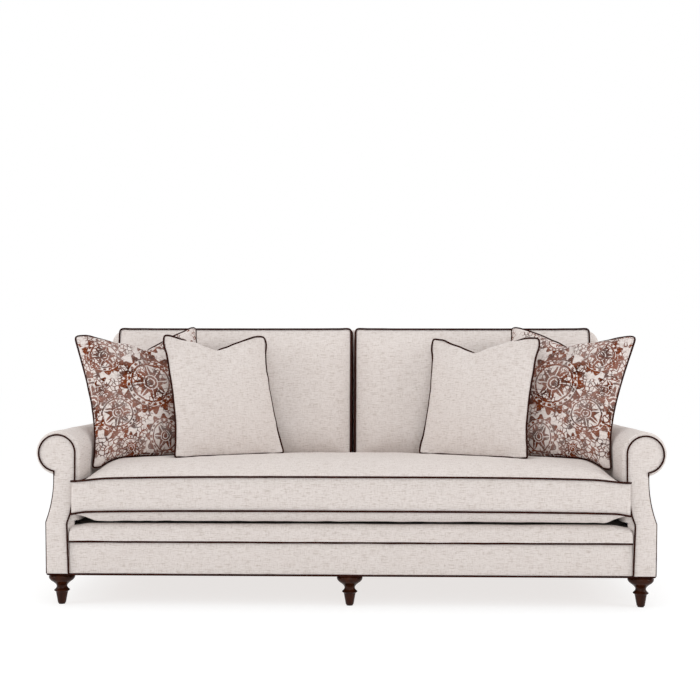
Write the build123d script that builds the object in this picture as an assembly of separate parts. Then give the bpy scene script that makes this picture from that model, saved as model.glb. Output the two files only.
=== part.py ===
from build123d import *
import math
import os

# Three-seater sofa with rolled arms, one long seat cushion, two loose back cushions and four throw pillows.
# Millimetres, +X to the right of someone facing it, +Y to the back, +Z up, origin on the floor at mid width
# and mid depth.

# Overall
OVERALL_DEPTH = 980.0
SEAT_WIDTH = 1874.0
SOFT_GAP = 0.3
NEAR_GAP = 0.1

# Feet
GLIDE_T = 3.0
GLIDE_R = 11.0
FOOT_TOP = 112.0
FOOT_OUT = 69.0
FOOT_SET_IN = 40.5
FOOT_COLLAR_R = 30.0
FOOT_COLLAR_H = 7.0
FOOT_BULB_R = 45.0
FOOT_BULB_DROP = 9.0
FOOT_BULB_TUCK = 13.0
FOOT_BULB_EASE = 7.0
FOOT_NECK_R = 18.5
FOOT_NECK_DROP = 40.0
FOOT_COVE_OUT = 6.5
FOOT_COVE_SAG = 1.5
FOOT_RING_R = 26.5
FOOT_RING_DROP = 11.0
FOOT_RING_HALF_H = 5.0
FOOT_RING_EASE = 4.5
FOOT_TOE_R = 14.5
FOOT_TOE_H = 3.0
FOOT_TOE_EASE = 1.5
PLATE_T = 3.0
PLATE_R = 26.0
BOLT_R = 4.0
BOLT_IN_FOOT = 42.0
BOLT_IN_FRAME = 55.0
BOLT_CLEARANCE = 0.2

# Seat frame
RAIL_H = 110.0
RAIL_T = 20.0
FRAME_OUT = 98.0
BLOCK_H = 80.0
BLOCK_LEG = 110.0
CENTRE_BLOCK_X = 90.0
CROSS_RAIL_X = 340.0
CROSS_RAIL_T = 30.0
POST_OUT = 33.0
POST_W = 38.0
FRONT_POST_D = 45.0
TACK_RAIL_T = 15.0
TACK_RAIL_H = 40.0

# Seat springs and deck
SPRING_COUNT = 10
SPRING_STEP = 176.0
SPRING_TURNS = 22
SPRING_WIRE_R = 1.8
SPRING_RISE = 5.0
SPRING_BAR_HALF = 27.0
CLIP_X = 30.0
CLIP_Y = 14.0
CLIP_H = 10.0
CLIP_PLAY = 0.2
DECK_CLOTH_RISE = 15.0
DECK_CLOTH_T = 2.0
DECK_OUT = 23.0
DECK_TOP = 294.0
DECK_REAR_GAP = 12.0
LIP_SET_BACK = 16.0
LIP_DEPTH = 72.0
LIP_Z0 = 227.0
LIP_OUT = 31.0
LIP_END_R = 52.0
LIP_NOSE_R = 26.0
BAND_T = 16.0
BASE_Z = 113.0
DUST_COVER_T = 1.5

# Arms
ROLL_R = 76.0
ROLL_Z = 529.0
ARM_PAD_T = 18.0
INSIDE_PAD_Z = 296.0
ARM_RAIL_W = 64.0
ARM_RAIL_H = 44.0
ARM_RAIL_ROUND = 14.0
OUTSIDE_T = 12.0
NECK_OUT = 10.0
NECK_LOW_Z = 440.0
HIP_OUT = 113.0
HIP_Z = 290.0
HIP_SWEEP_R = 430.0
OUTSIDE_BASE_OUT = 110.0
FACING_SET_BACK = 20.0
FACING_T = 20.0
FACING_ROLL_R = 63.0
FACING_WAIST_Z = 400.0
FACING_KNEE_OUT = 28.0
FACING_KNEE_Z = 320.0
FACING_HEEL_OUT = 40.0
FACING_HEEL_Z = 287.0
FACING_BASE_OUT = 33.0
FACING_CORNER_R = 6.0

# Back
BACK_RAKE = 8.0
BACK_LENGTH = 975.0
BACK_OUT = 81.0
BACK_CORNER_R = 60.0
OUTSIDE_BACK_T = 8.0
OUTSIDE_BACK_LOW_OUT = 97.0
BACK_POST_T = 60.0
BACK_RAIL_T = 28.0
BACK_TOP_RAIL_H = 90.0
BACK_LOWER_RAIL_V = 300.0
BACK_LOWER_RAIL_H = 70.0
BACK_CENTRE_POST_W = 40.0
BACK_TOP_PAD_T = 12.0
WEBBING_T = 3.0
WEBBING_W = 50.0
WEBBING_COUNT = 8
WEBBING_STEP = 220.0
BACK_PAD_T = 50.0

# Welts
WELT_R = 3.5

# Cushion crowns: turn at each outline from the seam, 0, to the top, 90 degrees
CROWN_ANGLES = (0.0, 22.0, 45.0, 68.0, 90.0)

# Seat cushion
SEAT_BOTTOM_CROWN = 38.0
SEAT_BOXING = 112.0
SEAT_TOP_CROWN = 50.0
SEAT_TOP_SHOULDER = 250.0
SEAT_BOTTOM_SHOULDER = 120.0
SEAT_REAR_SHOULDER = 45.0
SEAT_CORNER_R = 34.0
SEAT_DRAW = 4.0
COVER_T = 3.0

# Back cushions
BACK_CUSHION_H = 484.0
BACK_CUSHION_REAR_CROWN = 25.0
BACK_CUSHION_BOXING = 165.0
BACK_CUSHION_FRONT_CROWN = 45.0
BACK_CUSHION_SHOULDER = 130.0
BACK_CUSHION_CORNER_R = 30.0
BACK_CUSHION_DRAW = 5.0

# Throw pillows: ear to ear, half thickness, then the place of the middle, from the inside of the arm,
# forward of the outside back and up from the seat, and the turn of the left one of each pair
OUTER_SIDE = 506.0
OUTER_PUFF = 66.0
OUTER_FROM_ARM = 171.0
OUTER_FORWARD = 538.5
OUTER_RISE = 235.2
OUTER_TURN = (35.0, 14.0, -4.0)
OUTER_DIP = 62.0
OUTER_REST = 26.0
INNER_SIDE = 454.0
INNER_PUFF = 62.0
INNER_FROM_ARM = 455.0
INNER_FORWARD = 524.5
INNER_RISE = 227.0
INNER_TURN = (33.0, 13.0, 0.0)
INNER_DIP = 52.0
INNER_REST = 10.0
PILLOW_DRAW = 13.0
PILLOW_EAR_R = 16.0
PILLOW_CROWN_REACH = 0.62
PILLOW_ROUNDING = 0.35

# Travel to one side that is far enough for every cut
FAR = 3000.0

inside_x = SEAT_WIDTH / 2
frame_half_x = inside_x + FRAME_OUT
post_x0 = inside_x + POST_OUT
deck_half_x = inside_x + DECK_OUT
lip_half_x = inside_x + LIP_OUT
foot_side_x = inside_x + FOOT_OUT
hip_x = inside_x + HIP_OUT
outside_base_x = inside_x + OUTSIDE_BASE_OUT
facing_base_x = inside_x + FACING_BASE_OUT
facing_heel_x = inside_x + FACING_HEEL_OUT
facing_knee_x = inside_x + FACING_KNEE_OUT
back_half_x = inside_x + BACK_OUT
outside_back_low_x = inside_x + OUTSIDE_BACK_LOW_OUT
front_y = -OVERALL_DEPTH / 2
lip_front_y = front_y + LIP_SET_BACK
facing_front_y = front_y + FACING_SET_BACK
roll_x = inside_x + ROLL_R
facing_back_y = facing_front_y + FACING_T
rail_z0 = FOOT_TOP + PLATE_T
rail_z1 = rail_z0 + RAIL_H
front_rail_y1 = facing_back_y + RAIL_T
side_rail_x0 = frame_half_x - RAIL_T
post_x1 = post_x0 + POST_W
sin_rake = math.sin(math.radians(BACK_RAKE))
cos_rake = math.cos(math.radians(BACK_RAKE))
tan_rake = sin_rake / cos_rake
back_y0 = OVERALL_DEPTH / 2 - BACK_LENGTH * sin_rake
post_back_d = OUTSIDE_BACK_T
post_front_d = post_back_d + BACK_POST_T
webbing_front_d = post_front_d + WEBBING_T
pad_front_d = webbing_front_d + BACK_PAD_T
welt_reach = WELT_R + NEAR_GAP

# The raked back has its own frame: x, v up the rake, d forward from the outside back
back_frame = Plane(origin=(0, back_y0, 0), x_dir=(1, 0, 0), z_dir=(0, -cos_rake, sin_rake)).location


def back_y(z, d):
    """Y of the point d in front of the outside back, at height z."""
    return back_y0 + z * tan_rake - d / cos_rake


rear_rail_y1 = back_y(rail_z0, post_back_d) - NEAR_GAP
rear_rail_y0 = rear_rail_y1 - RAIL_T
deck_rear_y = rear_rail_y0 - DECK_REAR_GAP
band_front_y = facing_back_y - BAND_T
base_welt_y0 = band_front_y + WELT_R
base_welt_y1 = back_y(BASE_Z, OUTSIDE_BACK_T / 2)


def save(name, *solids):
    shape = solids[0] if len(solids) == 1 else Compound(children=list(solids))
    export_step(shape, f"parts/{name}.step")


def block(x0, x1, y0, y1, z0, z1):
    centre = Pos((x0 + x1) / 2, (y0 + y1) / 2, (z0 + z1) / 2)
    return centre * Box(x1 - x0, y1 - y0, z1 - z0)


def along_y(face, y0, y1):
    """A face drawn in x and z, stretched from y0 to y1."""
    return extrude(Plane.XZ.offset(-y1) * face, y1 - y0)


def to_left(solid):
    return mirror(solid, about=Plane.YZ)


def save_pair(name, right):
    save(name + "_left", to_left(right))
    save(name + "_right", right)


def tube(path, radius):
    return sweep(Plane(origin=path @ 0, z_dir=path % 0) * Circle(radius), path=path)


behind_posts = back_frame * block(-FAR, FAR, -FAR, FAR, -FAR, post_back_d)
behind_post_fronts = back_frame * block(-FAR, FAR, -FAR, FAR, -FAR, post_front_d)


# Turned feet, each with a glide below, a steel plate above and a hanger bolt up its middle
foot_front_y = base_welt_y0 + FOOT_SET_IN
foot_rear_y = base_welt_y1 - FOOT_SET_IN
foot_places = {}
for row, foot_y in (("front", foot_front_y), ("rear", foot_rear_y)):
    foot_places[row + "_left"] = (-foot_side_x, foot_y)
    foot_places[row + "_centre"] = (0.0, foot_y)
    foot_places[row + "_right"] = (foot_side_x, foot_y)


def foot_profile():
    """Half of the turned foot in radius and height, from its middle out."""
    collar_z = FOOT_TOP - FOOT_COLLAR_H
    bulb_z = collar_z - FOOT_BULB_DROP
    neck_z = collar_z - FOOT_NECK_DROP
    ring_z = neck_z - FOOT_RING_DROP
    bulb_top = (FOOT_BULB_R - FOOT_BULB_EASE, collar_z)
    bulb_end = (FOOT_BULB_R - FOOT_BULB_EASE, bulb_z - FOOT_BULB_TUCK)
    cove_mid = (FOOT_NECK_R + FOOT_COVE_OUT, (bulb_end[1] + neck_z) / 2 - FOOT_COVE_SAG)
    ring_top = (FOOT_RING_R - FOOT_RING_EASE, ring_z + FOOT_RING_HALF_H)
    ring_end = (FOOT_RING_R - FOOT_RING_EASE, ring_z - FOOT_RING_HALF_H)
    toe_top = (FOOT_TOE_R, GLIDE_T + FOOT_TOE_H)
    sole = (FOOT_TOE_R - FOOT_TOE_EASE, GLIDE_T)
    collar = Polyline((0, GLIDE_T), (0, FOOT_TOP), (FOOT_COLLAR_R, FOOT_TOP), (FOOT_COLLAR_R, collar_z),
                      bulb_top)
    bulb = ThreePointArc(bulb_top, (FOOT_BULB_R, bulb_z), bulb_end)
    cove = ThreePointArc(bulb_end, cove_mid, (FOOT_NECK_R, neck_z))
    neck = Line((FOOT_NECK_R, neck_z), ring_top)
    ring = ThreePointArc(ring_top, (FOOT_RING_R, ring_z), ring_end)
    shank = Polyline(ring_end, toe_top, sole, (0, GLIDE_T))
    return make_face([*collar.edges(), bulb, cove, neck, ring, *shank.edges()])


def upright(radius, z0, z1):
    return Pos(0, 0, (z0 + z1) / 2) * Cylinder(radius, z1 - z0)


bolt_z0 = FOOT_TOP - BOLT_IN_FOOT
bolt_z1 = rail_z0 + BOLT_IN_FRAME
bolt = upright(BOLT_R, bolt_z0, bolt_z1)
bolt_hole = upright(BOLT_R + BOLT_CLEARANCE, bolt_z0 - NEAR_GAP, bolt_z1 + NEAR_GAP)
foot = revolve(Plane.XZ * foot_profile(), Axis.Z) - bolt_hole
plate = upright(PLATE_R, FOOT_TOP, rail_z0) - bolt_hole
for place, (foot_x, foot_y) in foot_places.items():
    save("foot_" + place, Pos(foot_x, foot_y, 0) * foot)
spots = [Pos(foot_x, foot_y, 0) for foot_x, foot_y in foot_places.values()]
save("foot_plates", *[spot * plate for spot in spots])
save("foot_bolts", *[spot * bolt for spot in spots])
save("foot_glides", *[spot * upright(GLIDE_R, 0, GLIDE_T) for spot in spots])

# Seat frame: four rails, two cross rails, and glued blocks that take the foot bolts
save("front_rail", block(-frame_half_x, frame_half_x, facing_back_y, front_rail_y1, rail_z0, rail_z1))
save("rear_rail", block(-frame_half_x, frame_half_x, rear_rail_y0, rear_rail_y1, rail_z0, rail_z1))
save_pair("side_rail", block(side_rail_x0, frame_half_x, front_rail_y1, rear_rail_y0, rail_z0, rail_z1))
block_z1 = rail_z0 + BLOCK_H
cross_rail = block(-CROSS_RAIL_T / 2, CROSS_RAIL_T / 2, front_rail_y1, rear_rail_y0, rail_z0, block_z1)
save("seat_cross_rails", Pos(-CROSS_RAIL_X, 0, 0) * cross_rail, Pos(CROSS_RAIL_X, 0, 0) * cross_rail)


def corner_block(y, inward):
    points = [(side_rail_x0, y), (side_rail_x0 - BLOCK_LEG, y), (side_rail_x0, y + inward * BLOCK_LEG)]
    return extrude(Plane.XY.offset(rail_z0) * make_face(Polyline(*points, close=True)), BLOCK_H)


def centre_block(y, inward):
    y0, y1 = sorted((y, y + inward * BLOCK_LEG))
    return block(-CENTRE_BLOCK_X / 2, CENTRE_BLOCK_X / 2, y0, y1, rail_z0, block_z1)


blocks = []
for wall_y, foot_y, inward in ((front_rail_y1, foot_front_y, 1), (rear_rail_y0, foot_rear_y, -1)):
    right_block = corner_block(wall_y, inward) - Pos(foot_side_x, foot_y, 0) * bolt_hole
    blocks.append(right_block)
    blocks.append(to_left(right_block))
    blocks.append(centre_block(wall_y, inward) - Pos(0, foot_y, 0) * bolt_hole)
save("corner_blocks", *blocks)

# Arm frame: front posts, arm rails inside the rolls, and tack rails for the inside arms
arm_rail_z0 = ROLL_Z - ARM_RAIL_H / 2
front_post = block(post_x0, post_x1, facing_back_y, facing_back_y + FRONT_POST_D, rail_z1, arm_rail_z0)
save_pair("front_post", front_post)
rail_face = Pos(roll_x, ROLL_Z) * RectangleRounded(ARM_RAIL_W, ARM_RAIL_H, ARM_RAIL_ROUND)
arm_rail = along_y(rail_face, facing_back_y, OVERALL_DEPTH / 2) - behind_post_fronts
save_pair("arm_rail", arm_rail)
tack_rail = block(post_x0 - TACK_RAIL_T, post_x0, facing_back_y, OVERALL_DEPTH / 2, INSIDE_PAD_Z,
                  INSIDE_PAD_Z + TACK_RAIL_H) - behind_post_fronts
save("arm_tack_rails", to_left(tack_rail), tack_rail)


# Raked back frame
def back_outline(inset):
    """Upper outline of the back in x and v, drawn in by inset, with its two round top corners."""
    half_x = back_half_x - inset
    top = BACK_LENGTH - inset
    radius = BACK_CORNER_R - inset
    square = Polyline((-half_x, 0), (half_x, 0), (half_x, top), (-half_x, top), close=True)
    face = make_face(square)
    return fillet(face.vertices().sort_by(Axis.Y)[-2:], radius)


def back_layer(face, d0, d1):
    return back_frame * extrude(Pos(0, 0, d0) * face, d1 - d0)


below_rail_tops = block(-FAR, FAR, -FAR, FAR, -FAR, rail_z1)
post_blank = back_layer(back_outline(BACK_TOP_PAD_T), post_back_d, post_front_d) - below_rail_tops
post_slot = block(post_x0, post_x1, -FAR, FAR, -FAR, FAR)
back_post = post_blank & post_slot
save_pair("back_post", back_post)
back_rail_d0 = post_front_d - BACK_RAIL_T
back_top_v = BACK_LENGTH - BACK_TOP_PAD_T
top_rail_v0 = back_top_v - BACK_TOP_RAIL_H
lower_rail_v1 = BACK_LOWER_RAIL_V + BACK_LOWER_RAIL_H
centre_half = BACK_CENTRE_POST_W / 2
top_rail = back_frame * block(-post_x0, post_x0, top_rail_v0, back_top_v, back_rail_d0, post_front_d)
save("back_top_rail", top_rail & post_blank)
save("back_lower_rail",
     back_frame * block(-post_x0, post_x0, BACK_LOWER_RAIL_V, lower_rail_v1, back_rail_d0, post_front_d))
save("back_centre_post",
     back_frame * block(-centre_half, centre_half, lower_rail_v1, top_rail_v0, back_rail_d0, post_front_d))
strap = block(-WEBBING_W / 2, WEBBING_W / 2, BACK_LOWER_RAIL_V, back_top_v, post_front_d, webbing_front_d)
straps = []
for number in range(WEBBING_COUNT):
    strap_x = (number - (WEBBING_COUNT - 1) / 2) * WEBBING_STEP
    straps.append(back_frame * Pos(strap_x, 0, 0) * strap)
save("back_webbing", *straps)

# Zigzag seat springs from the front rail to the rear rail, held in clips
spring_z = rail_z1 + SPRING_RISE
spring_y0 = (facing_back_y + front_rail_y1) / 2
spring_y1 = (rear_rail_y0 + rear_rail_y1) / 2
spring_pitch = (spring_y1 - spring_y0) / SPRING_TURNS


def spring_path():
    edges = []
    side = 1
    for bar in range(SPRING_TURNS + 1):
        y = spring_y0 + bar * spring_pitch
        tip = (side * SPRING_BAR_HALF, y, spring_z)
        edges.append(Line((-side * SPRING_BAR_HALF, y, spring_z), tip))
        if bar < SPRING_TURNS:
            crest = (side * (SPRING_BAR_HALF + spring_pitch / 2), y + spring_pitch / 2, spring_z)
            edges.append(ThreePointArc(tip, crest, (tip[0], y + spring_pitch, spring_z)))
        side = -side
    return Wire(edges)


spring = tube(spring_path(), SPRING_WIRE_R)
wire_way = Rot(0, 90, 0) * Cylinder(SPRING_WIRE_R + CLIP_PLAY, CLIP_X + 2 * NEAR_GAP)
clip = block(-CLIP_X / 2, CLIP_X / 2, -CLIP_Y / 2, CLIP_Y / 2, rail_z1, rail_z1 + CLIP_H)
clip = clip - Pos(0, 0, spring_z) * wire_way
springs = []
clips = []
for number in range(SPRING_COUNT):
    spring_x = (number - (SPRING_COUNT - 1) / 2) * SPRING_STEP
    springs.append(Pos(spring_x, 0, 0) * spring)
    for clip_y in (spring_y0, spring_y1):
        clips.append(Pos(spring_x, clip_y, 0) * clip)
save("seat_springs", *springs)
save("spring_clips", *clips)

# Deck: cloth over the springs, a pad, and the soft lip that shows under the cushion
cloth_z0 = rail_z1 + DECK_CLOTH_RISE
cloth_z1 = cloth_z0 + DECK_CLOTH_T
lip_y1 = lip_front_y + LIP_DEPTH
save("deck_cloth", block(-deck_half_x, deck_half_x, facing_back_y, deck_rear_y, cloth_z0, cloth_z1))
save("deck_pad", block(-deck_half_x, deck_half_x, lip_y1, deck_rear_y, cloth_z1, DECK_TOP))


def lip():
    front = make_face(Polyline((-lip_half_x, LIP_Z0), (lip_half_x, LIP_Z0), (lip_half_x, DECK_TOP),
                               (-lip_half_x, DECK_TOP), close=True))
    front = fillet(front.vertices().sort_by(Axis.Y)[-2:], LIP_END_R)
    side = make_face(Polyline((lip_front_y, LIP_Z0), (facing_back_y, LIP_Z0), (facing_back_y, cloth_z1),
                              (lip_y1, cloth_z1), (lip_y1, DECK_TOP), (lip_front_y, DECK_TOP), close=True))
    nose = side.vertices().sort_by_distance((lip_front_y, DECK_TOP, 0))[0]
    side = fillet(nose, LIP_NOSE_R)
    across = extrude(Plane.YZ.offset(-lip_half_x) * side, 2 * lip_half_x)
    return along_y(front, lip_front_y, lip_y1) & across


save("deck_lip", lip())
band_half_x = facing_base_x - SOFT_GAP
save("front_band", block(-band_half_x, band_half_x, band_front_y, facing_back_y, BASE_Z, LIP_Z0))
plate_cut = upright(PLATE_R + NEAR_GAP, rail_z0 - DUST_COVER_T - NEAR_GAP, rail_z0 + NEAR_GAP)
dust_cover = block(-frame_half_x, frame_half_x, facing_back_y, rear_rail_y1 - DUST_COVER_T,
                   rail_z0 - DUST_COVER_T, rail_z0)
for spot in spots:
    dust_cover = dust_cover - spot * plate_cut
save("dust_cover", dust_cover)

# Arms: a pad up the inside and round the roll, an outside panel with its hip, and a front facing
neck_x = roll_x + NECK_OUT
roll_bottom = ROLL_Z - ROLL_R


def hip_line(top_z, shift):
    """The outside of the arm from top_z down to the base, moved in by shift."""
    neck = Line((neck_x - shift, top_z), (neck_x - shift, NECK_LOW_Z))
    sweep_in = RadiusArc((neck_x - shift, NECK_LOW_Z), (hip_x - shift, HIP_Z), -HIP_SWEEP_R)
    side = Line((hip_x - shift, HIP_Z), (outside_base_x - shift, BASE_Z))
    return [neck, sweep_in, side]


def outside_arm():
    top_z = roll_bottom - SOFT_GAP
    top = Line((neck_x - OUTSIDE_T, top_z), (neck_x, top_z))
    bottom = Line((outside_base_x - OUTSIDE_T, BASE_Z), (outside_base_x, BASE_Z))
    face = make_face([top, *hip_line(top_z, 0), bottom, *hip_line(top_z, OUTSIDE_T)])
    return along_y(face, facing_back_y, OVERALL_DEPTH / 2) - behind_posts


def arm_pad():
    pad = block(inside_x, inside_x + ARM_PAD_T, facing_back_y, OVERALL_DEPTH / 2, INSIDE_PAD_Z, ROLL_Z)
    pad = pad - behind_post_fronts
    roll = Pos(roll_x, ROLL_Z) * Circle(ROLL_R)
    pad = pad + (along_y(roll, facing_back_y, OVERALL_DEPTH / 2) - behind_posts)
    for wood in (arm_rail, front_post, back_post, tack_rail):
        pad = pad - wood
    return pad


def facing_face():
    """The front of the arm in x and z, inside its welt."""
    inner_x = roll_x - FACING_ROLL_R
    neck_z = ROLL_Z - math.sqrt(FACING_ROLL_R**2 - NECK_OUT**2)
    inner = Polyline((facing_base_x, BASE_Z), (facing_heel_x, FACING_HEEL_Z),
                     (facing_knee_x, FACING_KNEE_Z), (inner_x, FACING_WAIST_Z), (inner_x, ROLL_Z))
    outer_x = roll_x + FACING_ROLL_R
    over = ThreePointArc((inner_x, ROLL_Z), (roll_x, ROLL_Z + FACING_ROLL_R), (outer_x, ROLL_Z))
    slant = FACING_ROLL_R * math.sqrt(0.5)
    under = ThreePointArc((outer_x, ROLL_Z), (roll_x + slant, ROLL_Z - slant), (neck_x, neck_z))
    base = Line((outside_base_x, BASE_Z), (facing_base_x, BASE_Z))
    face = make_face([*inner.edges(), over, under, *hip_line(neck_z, 0), base])
    sharp = [(neck_x, neck_z), (hip_x, HIP_Z), (facing_heel_x, FACING_HEEL_Z),
             (facing_knee_x, FACING_KNEE_Z), (inner_x, FACING_WAIST_Z)]
    corners = [face.vertices().sort_by_distance((x, z, 0))[0] for x, z in sharp]
    return fillet(corners, FACING_CORNER_R)


def facing_welt():
    """A welt round the facing's front edge, open along the base."""
    wire = (Plane.XZ.offset(-(facing_front_y - welt_reach)) * facing_face()).face().outer_wire()
    base_mid = Vector((outside_base_x + facing_base_x) / 2, facing_front_y - welt_reach, BASE_Z)
    edges = wire.edges().sort_by_distance(base_mid)[1:]
    return tube(Wire(edges), WELT_R)


save_pair("arm_pad", arm_pad())
save_pair("outside_arm", outside_arm())
save_pair("arm_facing", along_y(facing_face(), facing_front_y, facing_back_y))
right_welt = facing_welt()
save("facing_welts", to_left(right_welt), right_welt)

# Upholstered back: a pad on the webbing, a pad over the top and sides of the frame, and the outside back
roll_room = along_y(Pos(roll_x, ROLL_Z) * Circle(ROLL_R + SOFT_GAP), -FAR, FAR)
arm_room = block(inside_x - SOFT_GAP, FAR, -FAR, FAR, -FAR, ROLL_Z)
arm_rooms = [roll_room, to_left(roll_room), arm_room, to_left(arm_room)]
below_arm_pads = block(-FAR, FAR, -FAR, FAR, -FAR, INSIDE_PAD_Z)
back_pad = back_layer(back_outline(0), webbing_front_d, pad_front_d) - below_arm_pads
top_pad = back_layer(back_outline(0) - back_outline(BACK_TOP_PAD_T), post_back_d, webbing_front_d)
for room in arm_rooms:
    back_pad = back_pad - room
    top_pad = top_pad - room
save("inside_back_pad", back_pad)
save("back_top_pad", top_pad)


def outside_back():
    half = [(outside_back_low_x, 0), (outside_back_low_x, roll_bottom), (back_half_x, ROLL_Z + ROLL_R),
            (back_half_x, BACK_LENGTH)]
    face = make_face(Polyline(*half, *[(-x, v) for x, v in reversed(half)], close=True))
    face = fillet(face.vertices().sort_by(Axis.Y)[-2:], BACK_CORNER_R)
    return back_layer(face, 0, OUTSIDE_BACK_T) - block(-FAR, FAR, -FAR, FAR, -FAR, BASE_Z)


save("outside_back", outside_back())

# Welts along the lip and right round the base
lip_welt_y = band_front_y - welt_reach
lip_welt = Pos(0, lip_welt_y, LIP_Z0 - welt_reach) * Rot(0, 90, 0) * Cylinder(WELT_R, 2 * band_half_x)
save("lip_welt", lip_welt)
base_welt_x = outside_base_x - WELT_R
base_loop = Pos(0, (base_welt_y0 + base_welt_y1) / 2, BASE_Z - welt_reach) * RectangleRounded(
    2 * base_welt_x, base_welt_y1 - base_welt_y0, OUTSIDE_T)
save("base_welt", tube(base_loop.face().outer_wire(), WELT_R))


# Cushions: outlines with drawn-in sides and round corners, stacked from seam to crown
def cushion_outline(x0, x1, y0, y1, corner, draw, dip, rest):
    mid_x = (x0 + x1) / 2
    mid_y = (y0 + y1) / 2
    bottom = ThreePointArc((x0, y0), (mid_x, y0 + rest), (x1, y0))
    right = ThreePointArc((x1, y0), (x1 - draw, mid_y), (x1, y1))
    top = ThreePointArc((x1, y1), (mid_x, y1 - dip), (x0, y1))
    left = ThreePointArc((x0, y1), (x0 + draw, mid_y), (x0, y0))
    face = make_face([bottom, right, top, left])
    return fillet(face.vertices(), corner)


def crown_steps(shoulder, crown):
    """How far in, and how far up, each outline of a crown lies."""
    for angle in CROWN_ANGLES:
        turn = math.radians(angle)
        yield shoulder * (1 - math.cos(turn)), crown * math.sin(turn)


def welt_loop(place, x0, x1, y0, y1, corner, draw, dip, rest):
    seam = cushion_outline(x0, x1, y0, y1, corner, draw, dip, rest)
    return tube((place * offset(seam, welt_reach)).face().outer_wire(), WELT_R)


# Seat cushion: a boxed cover round a foam core, with a welt at its top and bottom seams
seat_x = inside_x - SOFT_GAP - 2 * welt_reach
seat_y0 = front_y + 2 * welt_reach
seat_z0 = DECK_TOP + SOFT_GAP
seat_low_seam = seat_z0 + SEAT_BOTTOM_CROWN
seat_high_seam = seat_low_seam + SEAT_BOXING
seat_y1 = back_y(seat_low_seam - 2 * welt_reach, pad_front_d) - SOFT_GAP - 2 * welt_reach
seat_top = seat_high_seam + SEAT_TOP_CROWN


def seat_solid(skin):
    """The seat cushion's shape, drawn in all round by skin."""
    sections = []
    rear_share = SEAT_REAR_SHOULDER / SEAT_TOP_SHOULDER
    top = list(crown_steps(SEAT_TOP_SHOULDER, SEAT_TOP_CROWN))
    low = list(crown_steps(SEAT_BOTTOM_SHOULDER, SEAT_BOTTOM_CROWN))
    levels = [(inset, seat_low_seam - rise + skin) for inset, rise in reversed(low)]
    levels += [(inset, seat_high_seam + rise - skin) for inset, rise in top]
    for inset, z in levels:
        side = inset + skin
        rear_y = seat_y1 - skin - inset * rear_share
        face = cushion_outline(-seat_x + side, seat_x - side, seat_y0 + side, rear_y, SEAT_CORNER_R - skin,
                               SEAT_DRAW, SEAT_DRAW, SEAT_DRAW)
        sections.append(Pos(0, 0, z) * face)
    return loft(sections, ruled=True)


save("seat_cushion_cover", seat_solid(0) - seat_solid(COVER_T))
save("seat_cushion_core", seat_solid(COVER_T + SOFT_GAP))
seat_welts = []
for seam_z in (seat_low_seam, seat_high_seam):
    seat_welts.append(welt_loop(Pos(0, 0, seam_z), -seat_x, seat_x, seat_y0, seat_y1, SEAT_CORNER_R,
                                SEAT_DRAW, SEAT_DRAW, SEAT_DRAW))
save("seat_cushion_welts", *seat_welts)

# Back cushions: boxed, leaning on the back pad, with level undersides that rest on the seat cushion
back_cushion_x0 = SOFT_GAP + 2 * welt_reach
back_cushion_x1 = inside_x - SOFT_GAP - 2 * welt_reach
back_cushion_z0 = seat_top + SOFT_GAP + 2 * welt_reach
rear_seam_d = pad_front_d + SOFT_GAP + BACK_CUSHION_REAR_CROWN
front_seam_d = rear_seam_d + BACK_CUSHION_BOXING


def back_cushion_foot(d):
    """Where the level underside meets the rake, d forward of the outside back."""
    return (back_cushion_z0 - d * sin_rake) / cos_rake


def back_cushion_section(inset, d):
    v0 = back_cushion_foot(d)
    face = cushion_outline(back_cushion_x0 + inset, back_cushion_x1 - inset, v0 + inset,
                           v0 + BACK_CUSHION_H - inset, BACK_CUSHION_CORNER_R, BACK_CUSHION_DRAW,
                           BACK_CUSHION_DRAW, BACK_CUSHION_DRAW)
    return back_frame * Pos(0, 0, d) * face


def back_cushion():
    rear = list(crown_steps(BACK_CUSHION_SHOULDER, BACK_CUSHION_REAR_CROWN))
    front = list(crown_steps(BACK_CUSHION_SHOULDER, BACK_CUSHION_FRONT_CROWN))
    sections = [back_cushion_section(inset, rear_seam_d - rise) for inset, rise in reversed(rear)]
    sections += [back_cushion_section(inset, front_seam_d + rise) for inset, rise in front]
    return loft(sections, ruled=True)


def back_cushion_welt(d):
    v0 = back_cushion_foot(d)
    return welt_loop(back_frame * Pos(0, 0, d), back_cushion_x0, back_cushion_x1, v0, v0 + BACK_CUSHION_H,
                     BACK_CUSHION_CORNER_R, BACK_CUSHION_DRAW, BACK_CUSHION_DRAW, BACK_CUSHION_DRAW)


save_pair("back_cushion", back_cushion())
back_welts = [back_cushion_welt(d) for d in (rear_seam_d, front_seam_d)]
save("back_cushion_welts_left", *[to_left(welt) for welt in back_welts])
save("back_cushion_welts_right", *back_welts)


# Throw pillows: knife edged, with ears at the corners and a dip in the top edge
def pillow(side, puff, dip, rest):
    half = side / 2
    shoulder = half * PILLOW_CROWN_REACH
    sections = []
    steps = list(crown_steps(shoulder, puff))
    for face_side, ring in ((-1, reversed(steps)), (1, steps[1:])):
        for inset, rise in ring:
            fade = 1 - inset / shoulder
            corner = PILLOW_EAR_R + PILLOW_ROUNDING * inset
            face = cushion_outline(-half + inset, half - inset, -half + inset, half - inset, corner,
                                   PILLOW_DRAW * fade + NEAR_GAP, dip * (1 + fade - inset / half) / 2,
                                   rest * fade + NEAR_GAP)
            sections.append(Pos(0, 0, face_side * rise) * face)
    return loft(sections, ruled=True)


def pillow_place(from_arm, forward, up, turn):
    """Where the left one of a pair leans, and how it is turned."""
    yaw, lean, roll = turn
    z = seat_top + up
    middle = Pos(from_arm - inside_x, back_y(z, forward), z)
    return middle * Rot(0, 0, yaw) * Rot(-lean, 0, 0) * Rot(0, roll, 0) * Rot(90, 0, 0)


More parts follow.
